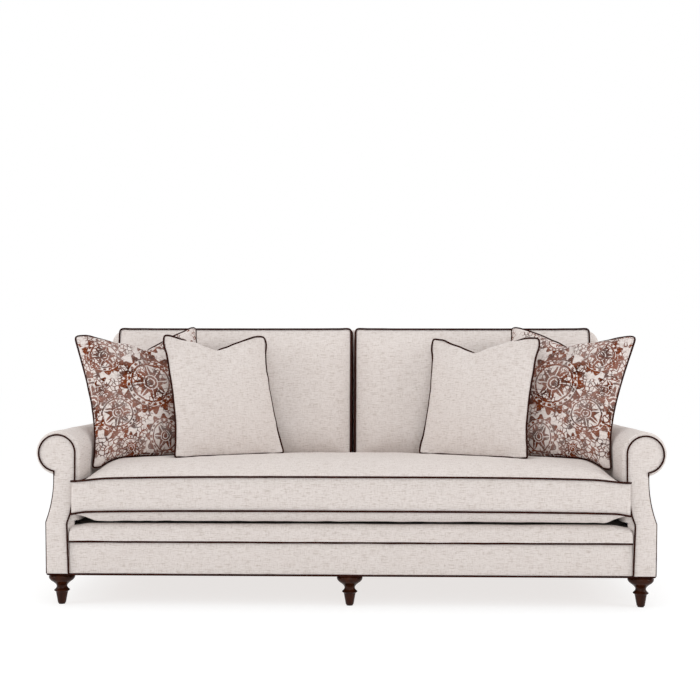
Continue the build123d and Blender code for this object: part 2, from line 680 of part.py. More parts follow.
outer_place = pillow_place(OUTER_FROM_ARM, OUTER_FORWARD, OUTER_RISE, OUTER_TURN)
inner_place = pillow_place(INNER_FROM_ARM, INNER_FORWARD, INNER_RISE, INNER_TURN)
for name, side, puff, dip, rest, place in (
        ("outer", OUTER_SIDE, OUTER_PUFF, OUTER_DIP, OUTER_REST, outer_place),
        ("inner", INNER_SIDE, INNER_PUFF, INNER_DIP, INNER_REST, inner_place)):
    half = side / 2
    left = place * pillow(side, puff, dip, rest)
    left_welt = welt_loop(place, -half, half, -half, half, PILLOW_EAR_R, PILLOW_DRAW, dip, rest)
    save(f"pillow_{name}_left", left)
    save(f"pillow_{name}_right", to_left(left))
    save(f"pillow_welt_{name}_left", left_welt)
    save(f"pillow_welt_{name}_right", to_left(left_welt))
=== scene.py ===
import math
import bmesh
import bpy
from mathutils import Matrix, Vector, noise
from mathutils.bvhtree import BVHTree
from mathutils.geometry import intersect_point_line


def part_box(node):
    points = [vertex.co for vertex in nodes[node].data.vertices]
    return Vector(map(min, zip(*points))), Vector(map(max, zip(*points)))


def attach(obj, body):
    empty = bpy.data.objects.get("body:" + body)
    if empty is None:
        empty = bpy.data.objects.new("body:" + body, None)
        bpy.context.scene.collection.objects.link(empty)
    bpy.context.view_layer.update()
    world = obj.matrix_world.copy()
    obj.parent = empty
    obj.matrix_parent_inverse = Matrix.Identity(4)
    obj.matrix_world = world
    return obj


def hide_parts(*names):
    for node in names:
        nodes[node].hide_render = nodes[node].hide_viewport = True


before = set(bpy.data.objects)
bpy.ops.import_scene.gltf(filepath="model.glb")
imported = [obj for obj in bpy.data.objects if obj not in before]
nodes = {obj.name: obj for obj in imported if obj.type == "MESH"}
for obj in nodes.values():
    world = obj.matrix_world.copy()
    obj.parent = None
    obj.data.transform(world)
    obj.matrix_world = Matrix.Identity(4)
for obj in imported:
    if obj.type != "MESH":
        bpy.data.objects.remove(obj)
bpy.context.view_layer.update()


# Hardwood frame: seat rails, cross rails and blocks, arm posts and rails, raked back posts and rails.
# Sawn and planed pale hardwood, glued and screwed, left bare because the upholstery hides it.
HARDWOOD_PALE = (0.62, 0.45, 0.28, 1)
HARDWOOD_DARK = (0.42, 0.27, 0.15, 1)
HARDWOOD_PIECES = (
    "front_rail", "rear_rail", "side_rail_left", "side_rail_right", "seat_cross_rails", "corner_blocks",
    "front_post_left", "front_post_right", "arm_rail_left", "arm_rail_right", "arm_tack_rails",
    "back_post_left", "back_post_right", "back_centre_post", "back_top_rail", "back_lower_rail")


def place(tree, kind, inputs=None, **settings):
    """Adds a shader node, with its settings, and its inputs as values or as links."""
    node = tree.nodes.new(kind)
    for key, value in settings.items():
        setattr(node, key, value)
    for key, value in (inputs or {}).items():
        if isinstance(value, bpy.types.NodeSocket):
            tree.links.new(value, node.inputs[key])
        else:
            node.inputs[key].default_value = value
    return node


def calc(tree, operation, first, second=0.0, third=0.0):
    return place(tree, "ShaderNodeMath", {0: first, 1: second, 2: third}, operation=operation).outputs[0]


def blend_colour(tree, factor, first, second):
    mix = place(tree, "ShaderNodeMix", {0: factor, 6: first, 7: second}, data_type="RGBA")
    return mix.outputs[2]


def stretched_noise(tree, vector, scale, detail=2.0):
    """Noise on coordinates that are stretched by scale, in cycles a metre."""
    moved = place(tree, "ShaderNodeMapping", {"Vector": vector, "Scale": scale})
    texture = place(tree, "ShaderNodeTexNoise", {"Vector": moved.outputs[0], "Scale": 1.0, "Detail": detail})
    return texture.outputs[0]


def ramp(tree, value, low, high):
    """Nought below low, one above high."""
    node = place(tree, "ShaderNodeMapRange", {"Value": value, "From Min": low, "From Max": high})
    return node.outputs[0]


def shared_effect(name, inputs, outputs):
    """An empty shader node group with those named sockets, and its two end nodes."""
    tree = bpy.data.node_groups.new(name, "ShaderNodeTree")
    for socket, kind in inputs:
        tree.interface.new_socket(socket, in_out="INPUT", socket_type=kind)
    for socket, kind in outputs:
        tree.interface.new_socket(socket, in_out="OUTPUT", socket_type=kind)
    return tree, tree.nodes.new("NodeGroupInput"), tree.nodes.new("NodeGroupOutput")


def new_finish(name):
    """A material with its node tree and its one shader."""
    finish = bpy.data.materials.new(name)
    finish.use_nodes = True
    return finish, finish.node_tree, finish.node_tree.nodes["Principled BSDF"]


def use_effect(tree, effect, inputs):
    return place(tree, "ShaderNodeGroup", inputs, node_tree=effect)


def on_piece(tree):
    """Object coordinates, in metres, which stay with the piece when it moves."""
    return place(tree, "ShaderNodeTexCoord").outputs["Object"]


def surface(tree, shader, colour, height, strength, depth, sockets):
    """Links a colour and a bump to the shader, and sets other sockets of its own."""
    bump = place(tree, "ShaderNodeBump", {"Height": height, "Strength": strength, "Distance": depth})
    tree.links.new(colour, shader.inputs["Base Color"])
    tree.links.new(bump.outputs[0], shader.inputs["Normal"])
    for socket, value in sockets.items():
        shader.inputs[socket].default_value = value


def wood_grain():
    """Grain that runs along the vector's X: broad growth bands and fine pores."""
    tree, given, result = shared_effect(
        "wood_grain",
        [("Vector", "NodeSocketVector"), ("Pale", "NodeSocketColor"), ("Dark", "NodeSocketColor")],
        [("Color", "NodeSocketColor"), ("Height", "NodeSocketFloat")])
    bands = stretched_noise(tree, given.outputs["Vector"], (3.0, 60.0, 60.0), 4.0)
    pores = stretched_noise(tree, given.outputs["Vector"], (25.0, 900.0, 900.0), 2.0)
    growth = ramp(tree, bands, 0.35, 0.68)
    pits = ramp(tree, pores, 0.58, 0.74)
    tone = calc(tree, "ADD", calc(tree, "MULTIPLY", growth, 0.7), calc(tree, "MULTIPLY", pits, 0.3))
    colour = blend_colour(tree, tone, given.outputs["Pale"], given.outputs["Dark"])
    tree.links.new(colour, result.inputs["Color"])
    tree.links.new(calc(tree, "SUBTRACT", growth, pits), result.inputs["Height"])
    return tree


GRAIN = wood_grain()


def hardwood():
    finish, tree, shader = new_finish("bare_hardwood")
    grain = use_effect(tree, GRAIN, {"Vector": on_piece(tree), "Pale": HARDWOOD_PALE, "Dark": HARDWOOD_DARK})
    surface(tree, shader, grain.outputs["Color"], grain.outputs["Height"], strength=0.25, depth=0.0008,
            sockets={"Roughness": 0.72})
    return finish


def dress(names, finish):
    """Gives CAD nodes a finish in place of their plain one."""
    for name in names:
        slots = nodes[name].data.materials
        slots.clear()
        slots.append(finish)


dress(HARDWOOD_PIECES, hardwood())


# Foot hardware: round steel plates let into the frame, hanger bolts up the middle of each foot, and
# moulded plastic glides pressed on below. The steel is zinc plated, dull and a little scratched.
ZINC = (0.50, 0.50, 0.49, 1)
ZINC_WORN = (0.36, 0.36, 0.37, 1)
GLIDE_BLACK = (0.035, 0.03, 0.028, 1)
GLIDE_SCUFFED = (0.12, 0.11, 0.10, 1)


def plated_steel(name, clean, worn, rough):
    finish, tree, shader = new_finish(name)
    at = on_piece(tree)
    blotches = ramp(tree, stretched_noise(tree, at, (90.0, 90.0, 90.0), 5.0), 0.4, 0.7)
    scratches = stretched_noise(tree, at, (1500.0, 60.0, 60.0), 2.0)
    tree.links.new(blend_colour(tree, blotches, clean, worn), shader.inputs["Base Color"])
    tree.links.new(calc(tree, "MULTIPLY_ADD", scratches, 0.2, rough), shader.inputs["Roughness"])
    shader.inputs["Metallic"].default_value = 1.0
    return finish


def glide_plastic():
    finish, tree, shader = new_finish("glide_plastic")
    at = on_piece(tree)
    scuffs = ramp(tree, stretched_noise(tree, at, (240.0, 240.0, 240.0), 4.0), 0.5, 0.75)
    tree.links.new(blend_colour(tree, scuffs, GLIDE_BLACK, GLIDE_SCUFFED), shader.inputs["Base Color"])
    tree.links.new(calc(tree, "MULTIPLY_ADD", scuffs, 0.25, 0.45), shader.inputs["Roughness"])
    return finish


dress(("foot_plates", "foot_bolts"), plated_steel("zinc_steel", ZINC, ZINC_WORN, rough=0.32))
dress(("foot_glides",), glide_plastic())


# Turned feet: six bun feet of dark stained mahogany under gloss lacquer. Each has a collar under the base,
# a round bulb, a cove down to a thin neck, a bead and a shank that tapers to the glide. A point of the
# turning is its drop below the base and its radius.
MAHOGANY_PALE = (0.046, 0.0115, 0.0042, 1)
MAHOGANY_DARK = (0.010, 0.0028, 0.0014, 1)
FOOT_TURNS = 56
FOOT_COLLAR = (0.0064, 0.0300)
FOOT_BULB = ((0.0066, 0.0385), (0.0170, 0.0450), (0.0294, 0.0376))
FOOT_COVE = (FOOT_BULB[-1], (0.0411, 0.0226), (0.0500, 0.0180))
FOOT_FLARE = (FOOT_COVE[-1], (0.0555, 0.0197), (0.0613, 0.0252))
FOOT_BEAD = (FOOT_FLARE[-1], (0.0636, 0.0270), (0.0660, 0.0254))
FOOT_STEP = (FOOT_BEAD[-1], (0.0680, 0.0223), (0.0706, 0.0205))
FOOT_SHANK = (0.1075, 0.0138)
FOOT_SOLE_IN = 0.0015
FOOT_CURVE_STEPS = 6


def mahogany():
    finish, tree, shader = new_finish("foot_mahogany")
    at = on_piece(tree)
    upright = place(tree, "ShaderNodeMapping", {"Vector": at, "Rotation": (0, math.pi / 2, 0)})
    stain = {"Vector": upright.outputs[0], "Pale": MAHOGANY_PALE, "Dark": MAHOGANY_DARK}
    grain = use_effect(tree, GRAIN, stain)
    wear = ramp(tree, stretched_noise(tree, at, (60.0, 60.0, 60.0), 4.0), 0.35, 0.75)
    tree.links.new(calc(tree, "MULTIPLY_ADD", wear, 0.12, 0.20), shader.inputs["Roughness"])
    surface(tree, shader, grain.outputs["Color"], grain.outputs["Height"], strength=0.06, depth=0.0004,
            sockets={"Specular IOR Level": 0.03, "Coat Weight": 0.18, "Coat Roughness": 0.05})
    return finish


def bow(first, middle, last, steps):
    """Points on the smooth curve through three, without its last."""
    points = []
    for step in range(steps):
        t = step / steps
        shares = ((1 - t) * (1 - 2 * t), 4 * t * (1 - t), t * (2 * t - 1))
        corners = zip(shares, (first, middle, last))
        points.append(sum((share * Vector(corner) for share, corner in corners), Vector((0, 0))))
    return points


def turned_outline(top, bottom):
    """Radius and height down the outside of a foot, from the middle of its top to the middle of its sole."""
    line = [(0.0, FOOT_COLLAR[1]), FOOT_COLLAR]
    for curve in (FOOT_BULB, FOOT_COVE, FOOT_FLARE, FOOT_BEAD, FOOT_STEP):
        line += bow(*curve, FOOT_CURVE_STEPS)
    line += [FOOT_STEP[-1], FOOT_SHANK]
    outside = [(radius, top - drop) for drop, radius in line]
    return [(0.0, top)] + outside + [(FOOT_SHANK[1] - FOOT_SOLE_IN, bottom), (0.0, bottom)]


def new_piece(bm, name, finish, body, stands_for=(), sharp=50):
    """Turns a bmesh into a piece that rides on a body and stands for CAD nodes."""
    mesh = bpy.data.meshes.new(name)
    bm.to_mesh(mesh)
    bm.free()
    mesh.polygons.foreach_set("use_smooth", [True] * len(mesh.polygons))
    mesh.set_sharp_from_angle(angle=math.radians(sharp))
    mesh.materials.append(finish)
    piece = bpy.data.objects.new(name, mesh)
    bpy.context.scene.collection.objects.link(piece)
    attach(piece, body)
    if stands_for:
        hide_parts(*stands_for)
    return piece


MAHOGANY = mahogany()
for row in ("front", "rear"):
    for side in ("left", "centre", "right"):
        node = f"foot_{row}_{side}"
        low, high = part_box(node)
        middle = (low + high) / 2
        bm = bmesh.new()
        line = [bm.verts.new((radius, 0, z)) for radius, z in turned_outline(high.z, low.z)]
        edges = [bm.edges.new(pair) for pair in zip(line, line[1:])]
        bmesh.ops.spin(bm, geom=line + edges, axis=(0, 0, 1), cent=(0, 0, 0), angle=2 * math.pi,
                       steps=FOOT_TURNS, use_merge=True)
        bmesh.ops.remove_doubles(bm, verts=bm.verts, dist=1e-6)
        bmesh.ops.recalc_face_normals(bm, faces=bm.faces)
        bmesh.ops.translate(bm, verts=bm.verts, vec=(middle.x, middle.y, 0))
        new_piece(bm, "turned_" + node, MAHOGANY, "frame", [node], sharp=35)


# Seat suspension and cloths: zigzag wire springs in pressed clips, a dark spun cloth over them and, up the
# back, wide woven straps. All of it is hidden once the sofa is covered.
WIRE_GREY = (0.22, 0.21, 0.20, 1)
WIRE_BROWN = (0.16, 0.12, 0.09, 1)
STRAP_JUTE = (0.42, 0.30, 0.16, 1)
STRAP_DARK = (0.20, 0.13, 0.06, 1)
SPUN_BLACK = (0.030, 0.028, 0.026, 1)
SPUN_GREY = (0.075, 0.070, 0.066, 1)


def threads(tree, vector, directions, scale, distortion):
    """Waves across each of two directions, for the threads of a cloth."""
    waves = []
    for direction in directions:
        wave = place(tree, "ShaderNodeTexWave", {"Vector": vector, "Scale": scale, "Distortion": distortion},
                     bands_direction=direction)
        waves.append(wave.outputs["Fac"])
    return waves


def plain_weave():
    """Over and under threads, about 4 mm apart both ways."""
    tree, given, result = shared_effect(
        "plain_weave",
        [("Vector", "NodeSocketVector"), ("Pale", "NodeSocketColor"), ("Dark", "NodeSocketColor")],
        [("Color", "NodeSocketColor"), ("Height", "NodeSocketFloat")])
    height = calc(tree, "MULTIPLY", *threads(tree, given.outputs["Vector"], "XZ", scale=70.0, distortion=0.6))
    fuzz = stretched_noise(tree, given.outputs["Vector"], (160.0, 160.0, 160.0), 4.0)
    tone = calc(tree, "MULTIPLY", calc(tree, "ADD", height, fuzz), 0.6)
    colour = blend_colour(tree, tone, given.outputs["Dark"], given.outputs["Pale"])
    tree.links.new(colour, result.inputs["Color"])
    tree.links.new(height, result.inputs["Height"])
    return tree


PLAIN_WEAVE = plain_weave()


def woven(name, pale, dark):
    finish, tree, shader = new_finish(name)
    weave = use_effect(tree, PLAIN_WEAVE, {"Vector": on_piece(tree), "Pale": pale, "Dark": dark})
    surface(tree, shader, weave.outputs["Color"], weave.outputs["Height"], strength=0.4, depth=0.001,
            sockets={"Roughness": 0.92})
    return finish


SPUN_CLOTH = woven("spun_cloth", SPUN_GREY, SPUN_BLACK)
dress(("seat_springs", "spring_clips"), plated_steel("spring_wire", WIRE_GREY, WIRE_BROWN, rough=0.38))
dress(("back_webbing",), woven("jute_strap", STRAP_JUTE, STRAP_DARK))
dress(("deck_cloth",), SPUN_CLOTH)


# Dust cover: a thin dark spun cloth stapled to the underside of the seat rails, cut round the foot plates.
# It is pulled tight and sags a few millimetres between the rails.
DUST_SAG = 0.004
DUST_CELL = 0.03
PLATE_ROOM = 0.027
cover_low, cover_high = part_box("dust_cover")
cover_size = cover_high - cover_low
bm = bmesh.new()
bmesh.ops.create_grid(bm, x_segments=round(cover_size.x / DUST_CELL),
                      y_segments=round(cover_size.y / DUST_CELL), size=0.5)
bmesh.ops.scale(bm, vec=(cover_size.x, cover_size.y, 1), verts=bm.verts)
for vert in bm.verts:
    across = 1 - (2 * vert.co.x / cover_size.x) ** 2
    along = 1 - (2 * vert.co.y / cover_size.y) ** 2
    vert.co.z = -DUST_SAG * across * along
cover_middle = (cover_low + cover_high) / 2
bmesh.ops.translate(bm, verts=bm.verts, vec=cover_middle)
feet = [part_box(name) for name in nodes if name.startswith("foot_front_") or name.startswith("foot_rear_")]
for low, high in feet:
    at = (low + high) / 2
    near = [f for f in bm.faces if (f.calc_center_median() - at).xy.length < PLATE_ROOM]
    bmesh.ops.delete(bm, geom=near, context="FACES")
dust_area = sum(f.calc_area() for f in bm.faces)
dust_cover = new_piece(bm, "dust_cover_cloth", SPUN_CLOTH, "frame", ["dust_cover"])


# Arms: a fibre pad up the inside of each arm and over its roll, under one cut of oatmeal linen that is
# pulled round the front edge of the roll to meet the facing.
LINEN_GROUND = (0.745, 0.681, 0.648, 1)
LINEN_PALE = (0.840, 0.786, 0.757, 1)
LINEN_SLUB = (0.430, 0.350, 0.300, 1)
ROLL_R = 0.076
ARM_PAD_T = 0.018
NECK_OUT = 0.010
ARM_ROWS = 44
ARM_FRONT_ROUND = 0.016
ARM_FRONT_TUCK = 0.013
ARM_LOW_ROUND = 0.060
ARM_LOW_TUCK = 0.0175
ARM_LOW_Z = 0.36
ARM_LOW_BLEND = 0.05
ARM_SET_BACK = 0.004
ARM_SOFT = (0.0018, 0.11)
ROLL_TO_REAR = 0.008
PAD_TO_REAR = 0.068
FRONT_GATHER = 1.5
RAKE = math.radians(8)
SIDES = (("left", -1), ("right", 1))
arm_low, arm_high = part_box("arm_pad_right")
inside_x = arm_low.x
roll_x = inside_x + ROLL_R
roll_z = arm_high.z - ROLL_R
back_low, back_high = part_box("outside_back")
back_foot_y = back_high.y - back_high.z * math.tan(RAKE)


def linen_weave():
    """Slubby linen on a UV map in metres: thick and thin weft threads across, fine warp up and down."""
    tree, given, result = shared_effect(
        "linen_weave",
        [("UV", "NodeSocketVector"), ("Ground", "NodeSocketColor"), ("Pale", "NodeSocketColor"),
         ("Slub", "NodeSocketColor")],
        [("Color", "NodeSocketColor"), ("Height", "NodeSocketFloat")])
    uv = given.outputs["UV"]
    slubs = ramp(tree, stretched_noise(tree, uv, (30.0, 360.0, 1.0), 2.0), 0.55, 0.70)
    wisps = ramp(tree, stretched_noise(tree, uv, (75.0, 480.0, 1.0), 1.0), 0.55, 0.75)
    pale_threads = ramp(tree, stretched_noise(tree, uv, (18.0, 380.0, 1.0), 2.0), 0.52, 0.70)
    warp = ramp(tree, stretched_noise(tree, uv, (420.0, 45.0, 1.0), 2.0), 0.50, 0.75)
    clouds = stretched_noise(tree, uv, (5.0, 9.0, 1.0), 3.0)
    waves = threads(tree, uv, "XY", scale=210.0, distortion=1.2)
    weave = calc(tree, "MULTIPLY", calc(tree, "ADD", *waves), 0.5)
    pale = given.outputs["Pale"]
    ground = blend_colour(tree, calc(tree, "MULTIPLY", clouds, 0.4), given.outputs["Ground"], pale)
    ground = blend_colour(tree, calc(tree, "MULTIPLY", pale_threads, 0.75), ground, pale)
    dark = calc(tree, "MAXIMUM", calc(tree, "MULTIPLY", slubs, 0.56), calc(tree, "MULTIPLY", wisps, 0.50))
    dark = calc(tree, "ADD", dark, calc(tree, "MULTIPLY", warp, 0.36))
    dark = calc(tree, "ADD", dark, calc(tree, "MULTIPLY", calc(tree, "SUBTRACT", 1.0, weave), 0.08))
    colour = blend_colour(tree, dark, ground, given.outputs["Slub"])
    height = calc(tree, "ADD", weave, calc(tree, "MULTIPLY", calc(tree, "ADD", slubs, pale_threads), 0.8))
    tree.links.new(colour, result.inputs["Color"])
    tree.links.new(height, result.inputs["Height"])
    return tree


LINEN_WEAVE = linen_weave()


def linen_threads(tree, ground, pale):
    """The linen weave in those colours, on the cloth's own UV map, and that map."""
    uv = place(tree, "ShaderNodeUVMap", uv_map="cloth").outputs[0]
    dyed = {"UV": uv, "Ground": ground, "Pale": pale, "Slub": LINEN_SLUB}
    return use_effect(tree, LINEN_WEAVE, dyed).outputs, uv


def linen():
    finish, tree, shader = new_finish("oatmeal_linen")
    weave = linen_threads(tree, LINEN_GROUND, LINEN_PALE)[0]
    surface(tree, shader, weave["Color"], weave["Height"], strength=0.35, depth=0.0006, sockets={
        "Roughness": 0.9, "Specular IOR Level": 0.25, "Sheen Weight": 0.12, "Sheen Roughness": 0.5})
    return finish


LINEN = linen()


def rear_y(z, forward=0.0):
    """Y of the raked outside back at height z, or of a plane that far in front of it."""
    return back_foot_y + z * math.tan(RAKE) - forward / math.cos(RAKE)


def arc(centre_x, centre_z, radius, start, end, steps):
    """Points on an arc in x and z, angles in degrees."""
    points = []
    for step in range(steps + 1):
        turn = math.radians(start + (end - start) * step / steps)
        points.append((centre_x + radius * math.cos(turn), centre_z + radius * math.sin(turn)))
    return points


def run(first, last, steps):
    """Points on a straight run in x and z, without its last."""
    across, up = last[0] - first[0], last[1] - first[1]
    return [(first[0] + across * step / steps, first[1] + up * step / steps) for step in range(steps)]


def drawn_out(profile, rows):
    """A closed profile in x and z drawn out along Y from 0 to 1, with both ends filled."""
    bm = bmesh.new()
    verts = [bm.verts.new((x, 0, z)) for x, z in profile]
    edges = [bm.edges.new(pair) for pair in zip(verts, verts[1:] + verts[:1])]
    bmesh.ops.spin(bm, geom=verts + edges, axis=(0, 1, 0), cent=(0, 0, 0), dvec=(0, 1 / rows, 0),
                   angle=0, steps=rows)
    bmesh.ops.holes_fill(bm, edges=[edge for edge in bm.edges if edge.is_boundary], sides=0)
    bmesh.ops.recalc_face_normals(bm, faces=bm.faces)
    return bm


def lay_cloth(bm):
    """A UV map in metres, with the weft level on every side."""
    bmesh.ops.recalc_face_normals(bm, faces=bm.faces)
    uv = bm.loops.layers.uv.new("cloth")
    for face in bm.faces:
        turn = [abs(part) for part in face.normal]
        for loop in face.loops:
            x, y, z = loop.vert.co
            if turn[2] >= max(turn[0], turn[1]):
                loop[uv].uv = (x, y)
            elif turn[0] >= turn[1]:
                loop[uv].uv = (y, z)
            else:
                loop[uv].uv = (x, z)


def soften(bm, height, grain):
    """Lifts and dips the surface by up to height, in soft patches of about that grain."""
    bm.normal_update()
    for vert in bm.verts:
        vert.co += vert.normal * height * noise.noise(vert.co / grain)


def ease(value):
    """From nought to one, starting and ending gently."""
    share = min(1.0, max(0.0, value))
    return share * share * (3 - 2 * share)


def fall_away(share):
    """How much of its radius a quarter round has lost at that share of the way to its end."""
    return 1 - math.sqrt(1 - share ** 2)


def linen_cover(bm, name, node):
    """A fixed linen cover over a pad, in place of its CAD node."""
    lay_cloth(bm)
    return new_piece(bm, name, LINEN, "frame", [node])


def arm_profile():
    neck_turn = -math.degrees(math.acos(NECK_OUT / ROLL_R))
    inside_foot = arm_low.z
    points = run((inside_x, inside_foot), (inside_x, roll_z), steps=18)
    points += arc(roll_x, roll_z, ROLL_R, 180, neck_turn, steps=44)
    points += [(roll_x - NECK_OUT, roll_z - ROLL_R / 2), (inside_x + ARM_PAD_T, roll_z - ROLL_R),
               (inside_x + ARM_PAD_T, inside_foot)]
    return points


facing_low, facing_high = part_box("arm_facing_right")
arm_front = facing_low.y + ARM_SET_BACK
for side, sign in SIDES:
    bm = drawn_out(arm_profile(), ARM_ROWS)
    for vert in bm.verts:
        x, along, z = vert.co
        over_pad = x > inside_x + ARM_PAD_T or z > roll_z
        rear = rear_y(z, ROLL_TO_REAR if over_pad else PAD_TO_REAR)
        y = arm_front + (rear - arm_front) * along ** FRONT_GATHER
        low = ease((ARM_LOW_Z - z) / ARM_LOW_BLEND)
        round_length = ARM_FRONT_ROUND + (ARM_LOW_ROUND - ARM_FRONT_ROUND) * low
        into_round = max(0.0, 1 - (y - arm_front) / round_length)
        tuck = (ARM_FRONT_TUCK + (ARM_LOW_TUCK - ARM_FRONT_TUCK) * low) * fall_away(into_round)
        if z > roll_z or x > roll_x:
            away = Vector((x - roll_x, 0, z - roll_z))
        else:
            away = Vector((-1, 0, 0))
        away = away.normalized() * tuck
        vert.co = (x - away.x, y, z - away.z)
    soften(bm, *ARM_SOFT)
    bmesh.ops.scale(bm, vec=(sign, 1, 1), verts=bm.verts)
    linen_cover(bm, f"arm_cover_{side}", f"arm_pad_{side}")


# Outside arms: linen over card and a thin pad, from under the roll down a hollow neck to the hip and base,
# and back to the outside back.
OUTSIDE_T = 0.012
NECK_LOW_Z = 0.440
HIP_Z = 0.290
HIP_SWEEP_R = 0.430
HIP_TUCK = 0.003
OUTSIDE_SET_BACK = 0.006
OUTSIDE_EDGE_LENGTH = 0.008
OUTSIDE_EDGE_TUCK = 0.003
OUTSIDE_SOFT = (0.0015, 0.14)
outside_low, outside_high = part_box("outside_arm_right")
neck_x = roll_x + NECK_OUT
base_x = outside_high.x - HIP_TUCK


def hip_line(top_z):
    """The outside of the arm in x and z, from top_z down the neck and hip to the base."""
    sweep = math.degrees(math.asin((NECK_LOW_Z - HIP_Z) / HIP_SWEEP_R))
    points = run((neck_x, top_z), (neck_x, NECK_LOW_Z), steps=3)
    points += arc(neck_x + HIP_SWEEP_R, NECK_LOW_Z, HIP_SWEEP_R, 180, 180 + sweep, steps=12)
    points += run(points[-1], (base_x, outside_low.z), steps=10)[1:]
    return points + [(base_x, outside_low.z)]


outside_front = facing_low.y + OUTSIDE_SET_BACK
for side, sign in SIDES:
    outer = hip_line(outside_high.z)
    inner = [(x - OUTSIDE_T, z) for x, z in reversed(outer)]
    bm = drawn_out(outer + inner, ARM_ROWS)
    for vert in bm.verts:
        x, along, z = vert.co
        y = outside_front + (rear_y(z, ROLL_TO_REAR) - outside_front) * along ** FRONT_GATHER
        into_round = max(0.0, 1 - (y - outside_front) / OUTSIDE_EDGE_LENGTH)
        vert.co = (x - OUTSIDE_EDGE_TUCK * into_round ** 2, y, z)
    soften(bm, *OUTSIDE_SOFT)
    bmesh.ops.scale(bm, vec=(sign, 1, 1), verts=bm.verts)
    linen_cover(bm, f"outside_arm_cover_{side}", f"outside_arm_{side}")


# Arm facings: a padded board on the front of each arm, its edge following the roll, neck, hip and base,
# covered in linen and nailed on with the welt between. Knee and heel are heights, and how far the edge
# there lies out from the arm's inside.
FACING_ROLL_R = 0.063
FACING_WAIST_Z = 0.400
FACING_KNEE = (0.320, 0.028)
FACING_HEEL = (0.287, 0.040)
FACING_BASE = 0.033
FACING_RETURN = 0.0313
FACING_RETURN_IN = 0.0125
FACING_RETURN_Z = 0.330
FACING_RETURN_RISE = 0.014
FACING_RETURN_BELOW_LIP = 0.0322
FACING_END_ROUND = 0.03
FACING_CROWN = 0.0035
FACING_COLUMNS = 14
FACING_LOW_ROWS = 40
FACING_ROLL_ROWS = 30
facing_neck_z = roll_z - math.sqrt(FACING_ROLL_R ** 2 - NECK_OUT ** 2)
facing_inner = [(facing_low.z, FACING_BASE), FACING_HEEL, FACING_KNEE,
                (FACING_WAIST_Z, ROLL_R - FACING_ROLL_R), (roll_z, ROLL_R - FACING_ROLL_R)]


def facing_levels():
    """Heights of the facing's rows, from the base up to the top of the roll."""
    step = (facing_neck_z - facing_low.z) / FACING_LOW_ROWS
    levels = [facing_low.z + step * number for number in range(FACING_LOW_ROWS)]
    start = math.asin((facing_neck_z - roll_z) / FACING_ROLL_R)
    for number in range(FACING_ROLL_ROWS + 1):
        turn = start + (math.pi / 2 - start) * number / FACING_ROLL_ROWS
        levels.append(roll_z + FACING_ROLL_R * math.sin(turn))
    return levels


def hip_sweep(z):
    """X of the outer edge at height z, on the sweep from the neck out to the hip."""
    return neck_x + HIP_SWEEP_R - math.sqrt(HIP_SWEEP_R ** 2 - (NECK_LOW_Z - z) ** 2)


def facing_reach(z):
    """The right facing's inner and outer edge, in x, at height z."""
    chord = math.sqrt(max(0.0, FACING_ROLL_R ** 2 - (z - roll_z) ** 2))
    inner = roll_x - chord
    for (z0, out0), (z1, out1) in zip(facing_inner, facing_inner[1:]):
        if z0 <= z < z1:
            inner = inside_x + out0 + (out1 - out0) * (z - z0) / (z1 - z0)
    if z >= facing_neck_z:
        outer = roll_x + chord
    elif z >= NECK_LOW_Z:
        outer = neck_x
    elif z >= HIP_Z:
        outer = hip_sweep(z)
    else:
        outer = base_x + (hip_sweep(HIP_Z) - base_x) * (z - facing_low.z) / (HIP_Z - facing_low.z)
    return inner, outer


def facing_line():
    """The right facing's edge in x and z, from its inner base round the roll to its outer base."""
    levels = facing_levels()
    up = [(facing_reach(z)[0], z) for z in levels]
    down = [(facing_reach(z)[1], z) for z in reversed(levels[:-1])]
    return up + down


lip_low, lip_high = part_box("deck_lip")
levels = facing_levels()
for side, sign in SIDES:
    bm = bmesh.new()
    bmesh.ops.create_grid(bm, x_segments=FACING_COLUMNS, y_segments=len(levels) - 1, size=0.5)
    for vert in bm.verts:
        across = vert.co.x + 0.5
        z = levels[round((vert.co.y + 0.5) * (len(levels) - 1))]
        inner, outer = facing_reach(z)
        ends = min(1.0, (levels[-1] - z) / FACING_END_ROUND, (z - levels[0]) / FACING_END_ROUND)
        swell = (1 - (2 * across - 1) ** 4) * math.sqrt(max(0.0, ends))
        vert.co = (inner + (outer - inner) * across, facing_low.y - FACING_CROWN * swell, z)
    grown = bmesh.ops.extrude_face_region(bm, geom=bm.faces[:], use_keep_orig=True)
    for item in grown["geom"]:
        if isinstance(item, bmesh.types.BMVert):
            item.co.y = facing_high.y
            if item.co.z < FACING_RETURN_Z and item.co.x < facing_reach(item.co.z)[0] + 1e-5:
                above = item.co.z - lip_high.z + FACING_RETURN_BELOW_LIP
                item.co.x = inside_x + FACING_RETURN - FACING_RETURN_IN * ease(above / FACING_RETURN_RISE)
    bmesh.ops.remove_doubles(bm, verts=bm.verts, dist=1e-6)
    bmesh.ops.scale(bm, vec=(sign, 1, 1), verts=bm.verts)
    linen_cover(bm, f"facing_cover_{side}", f"arm_facing_{side}")


# Front band: the upholstered face of the front rail between the two facings, a thin pad under linen that
# is pulled over its edges and stapled behind.
PAD_CELL = 0.02
BAND_EDGE = 0.004
BAND_SWELL = 0.003
BAND_SOFT = (0.0012, 0.16)


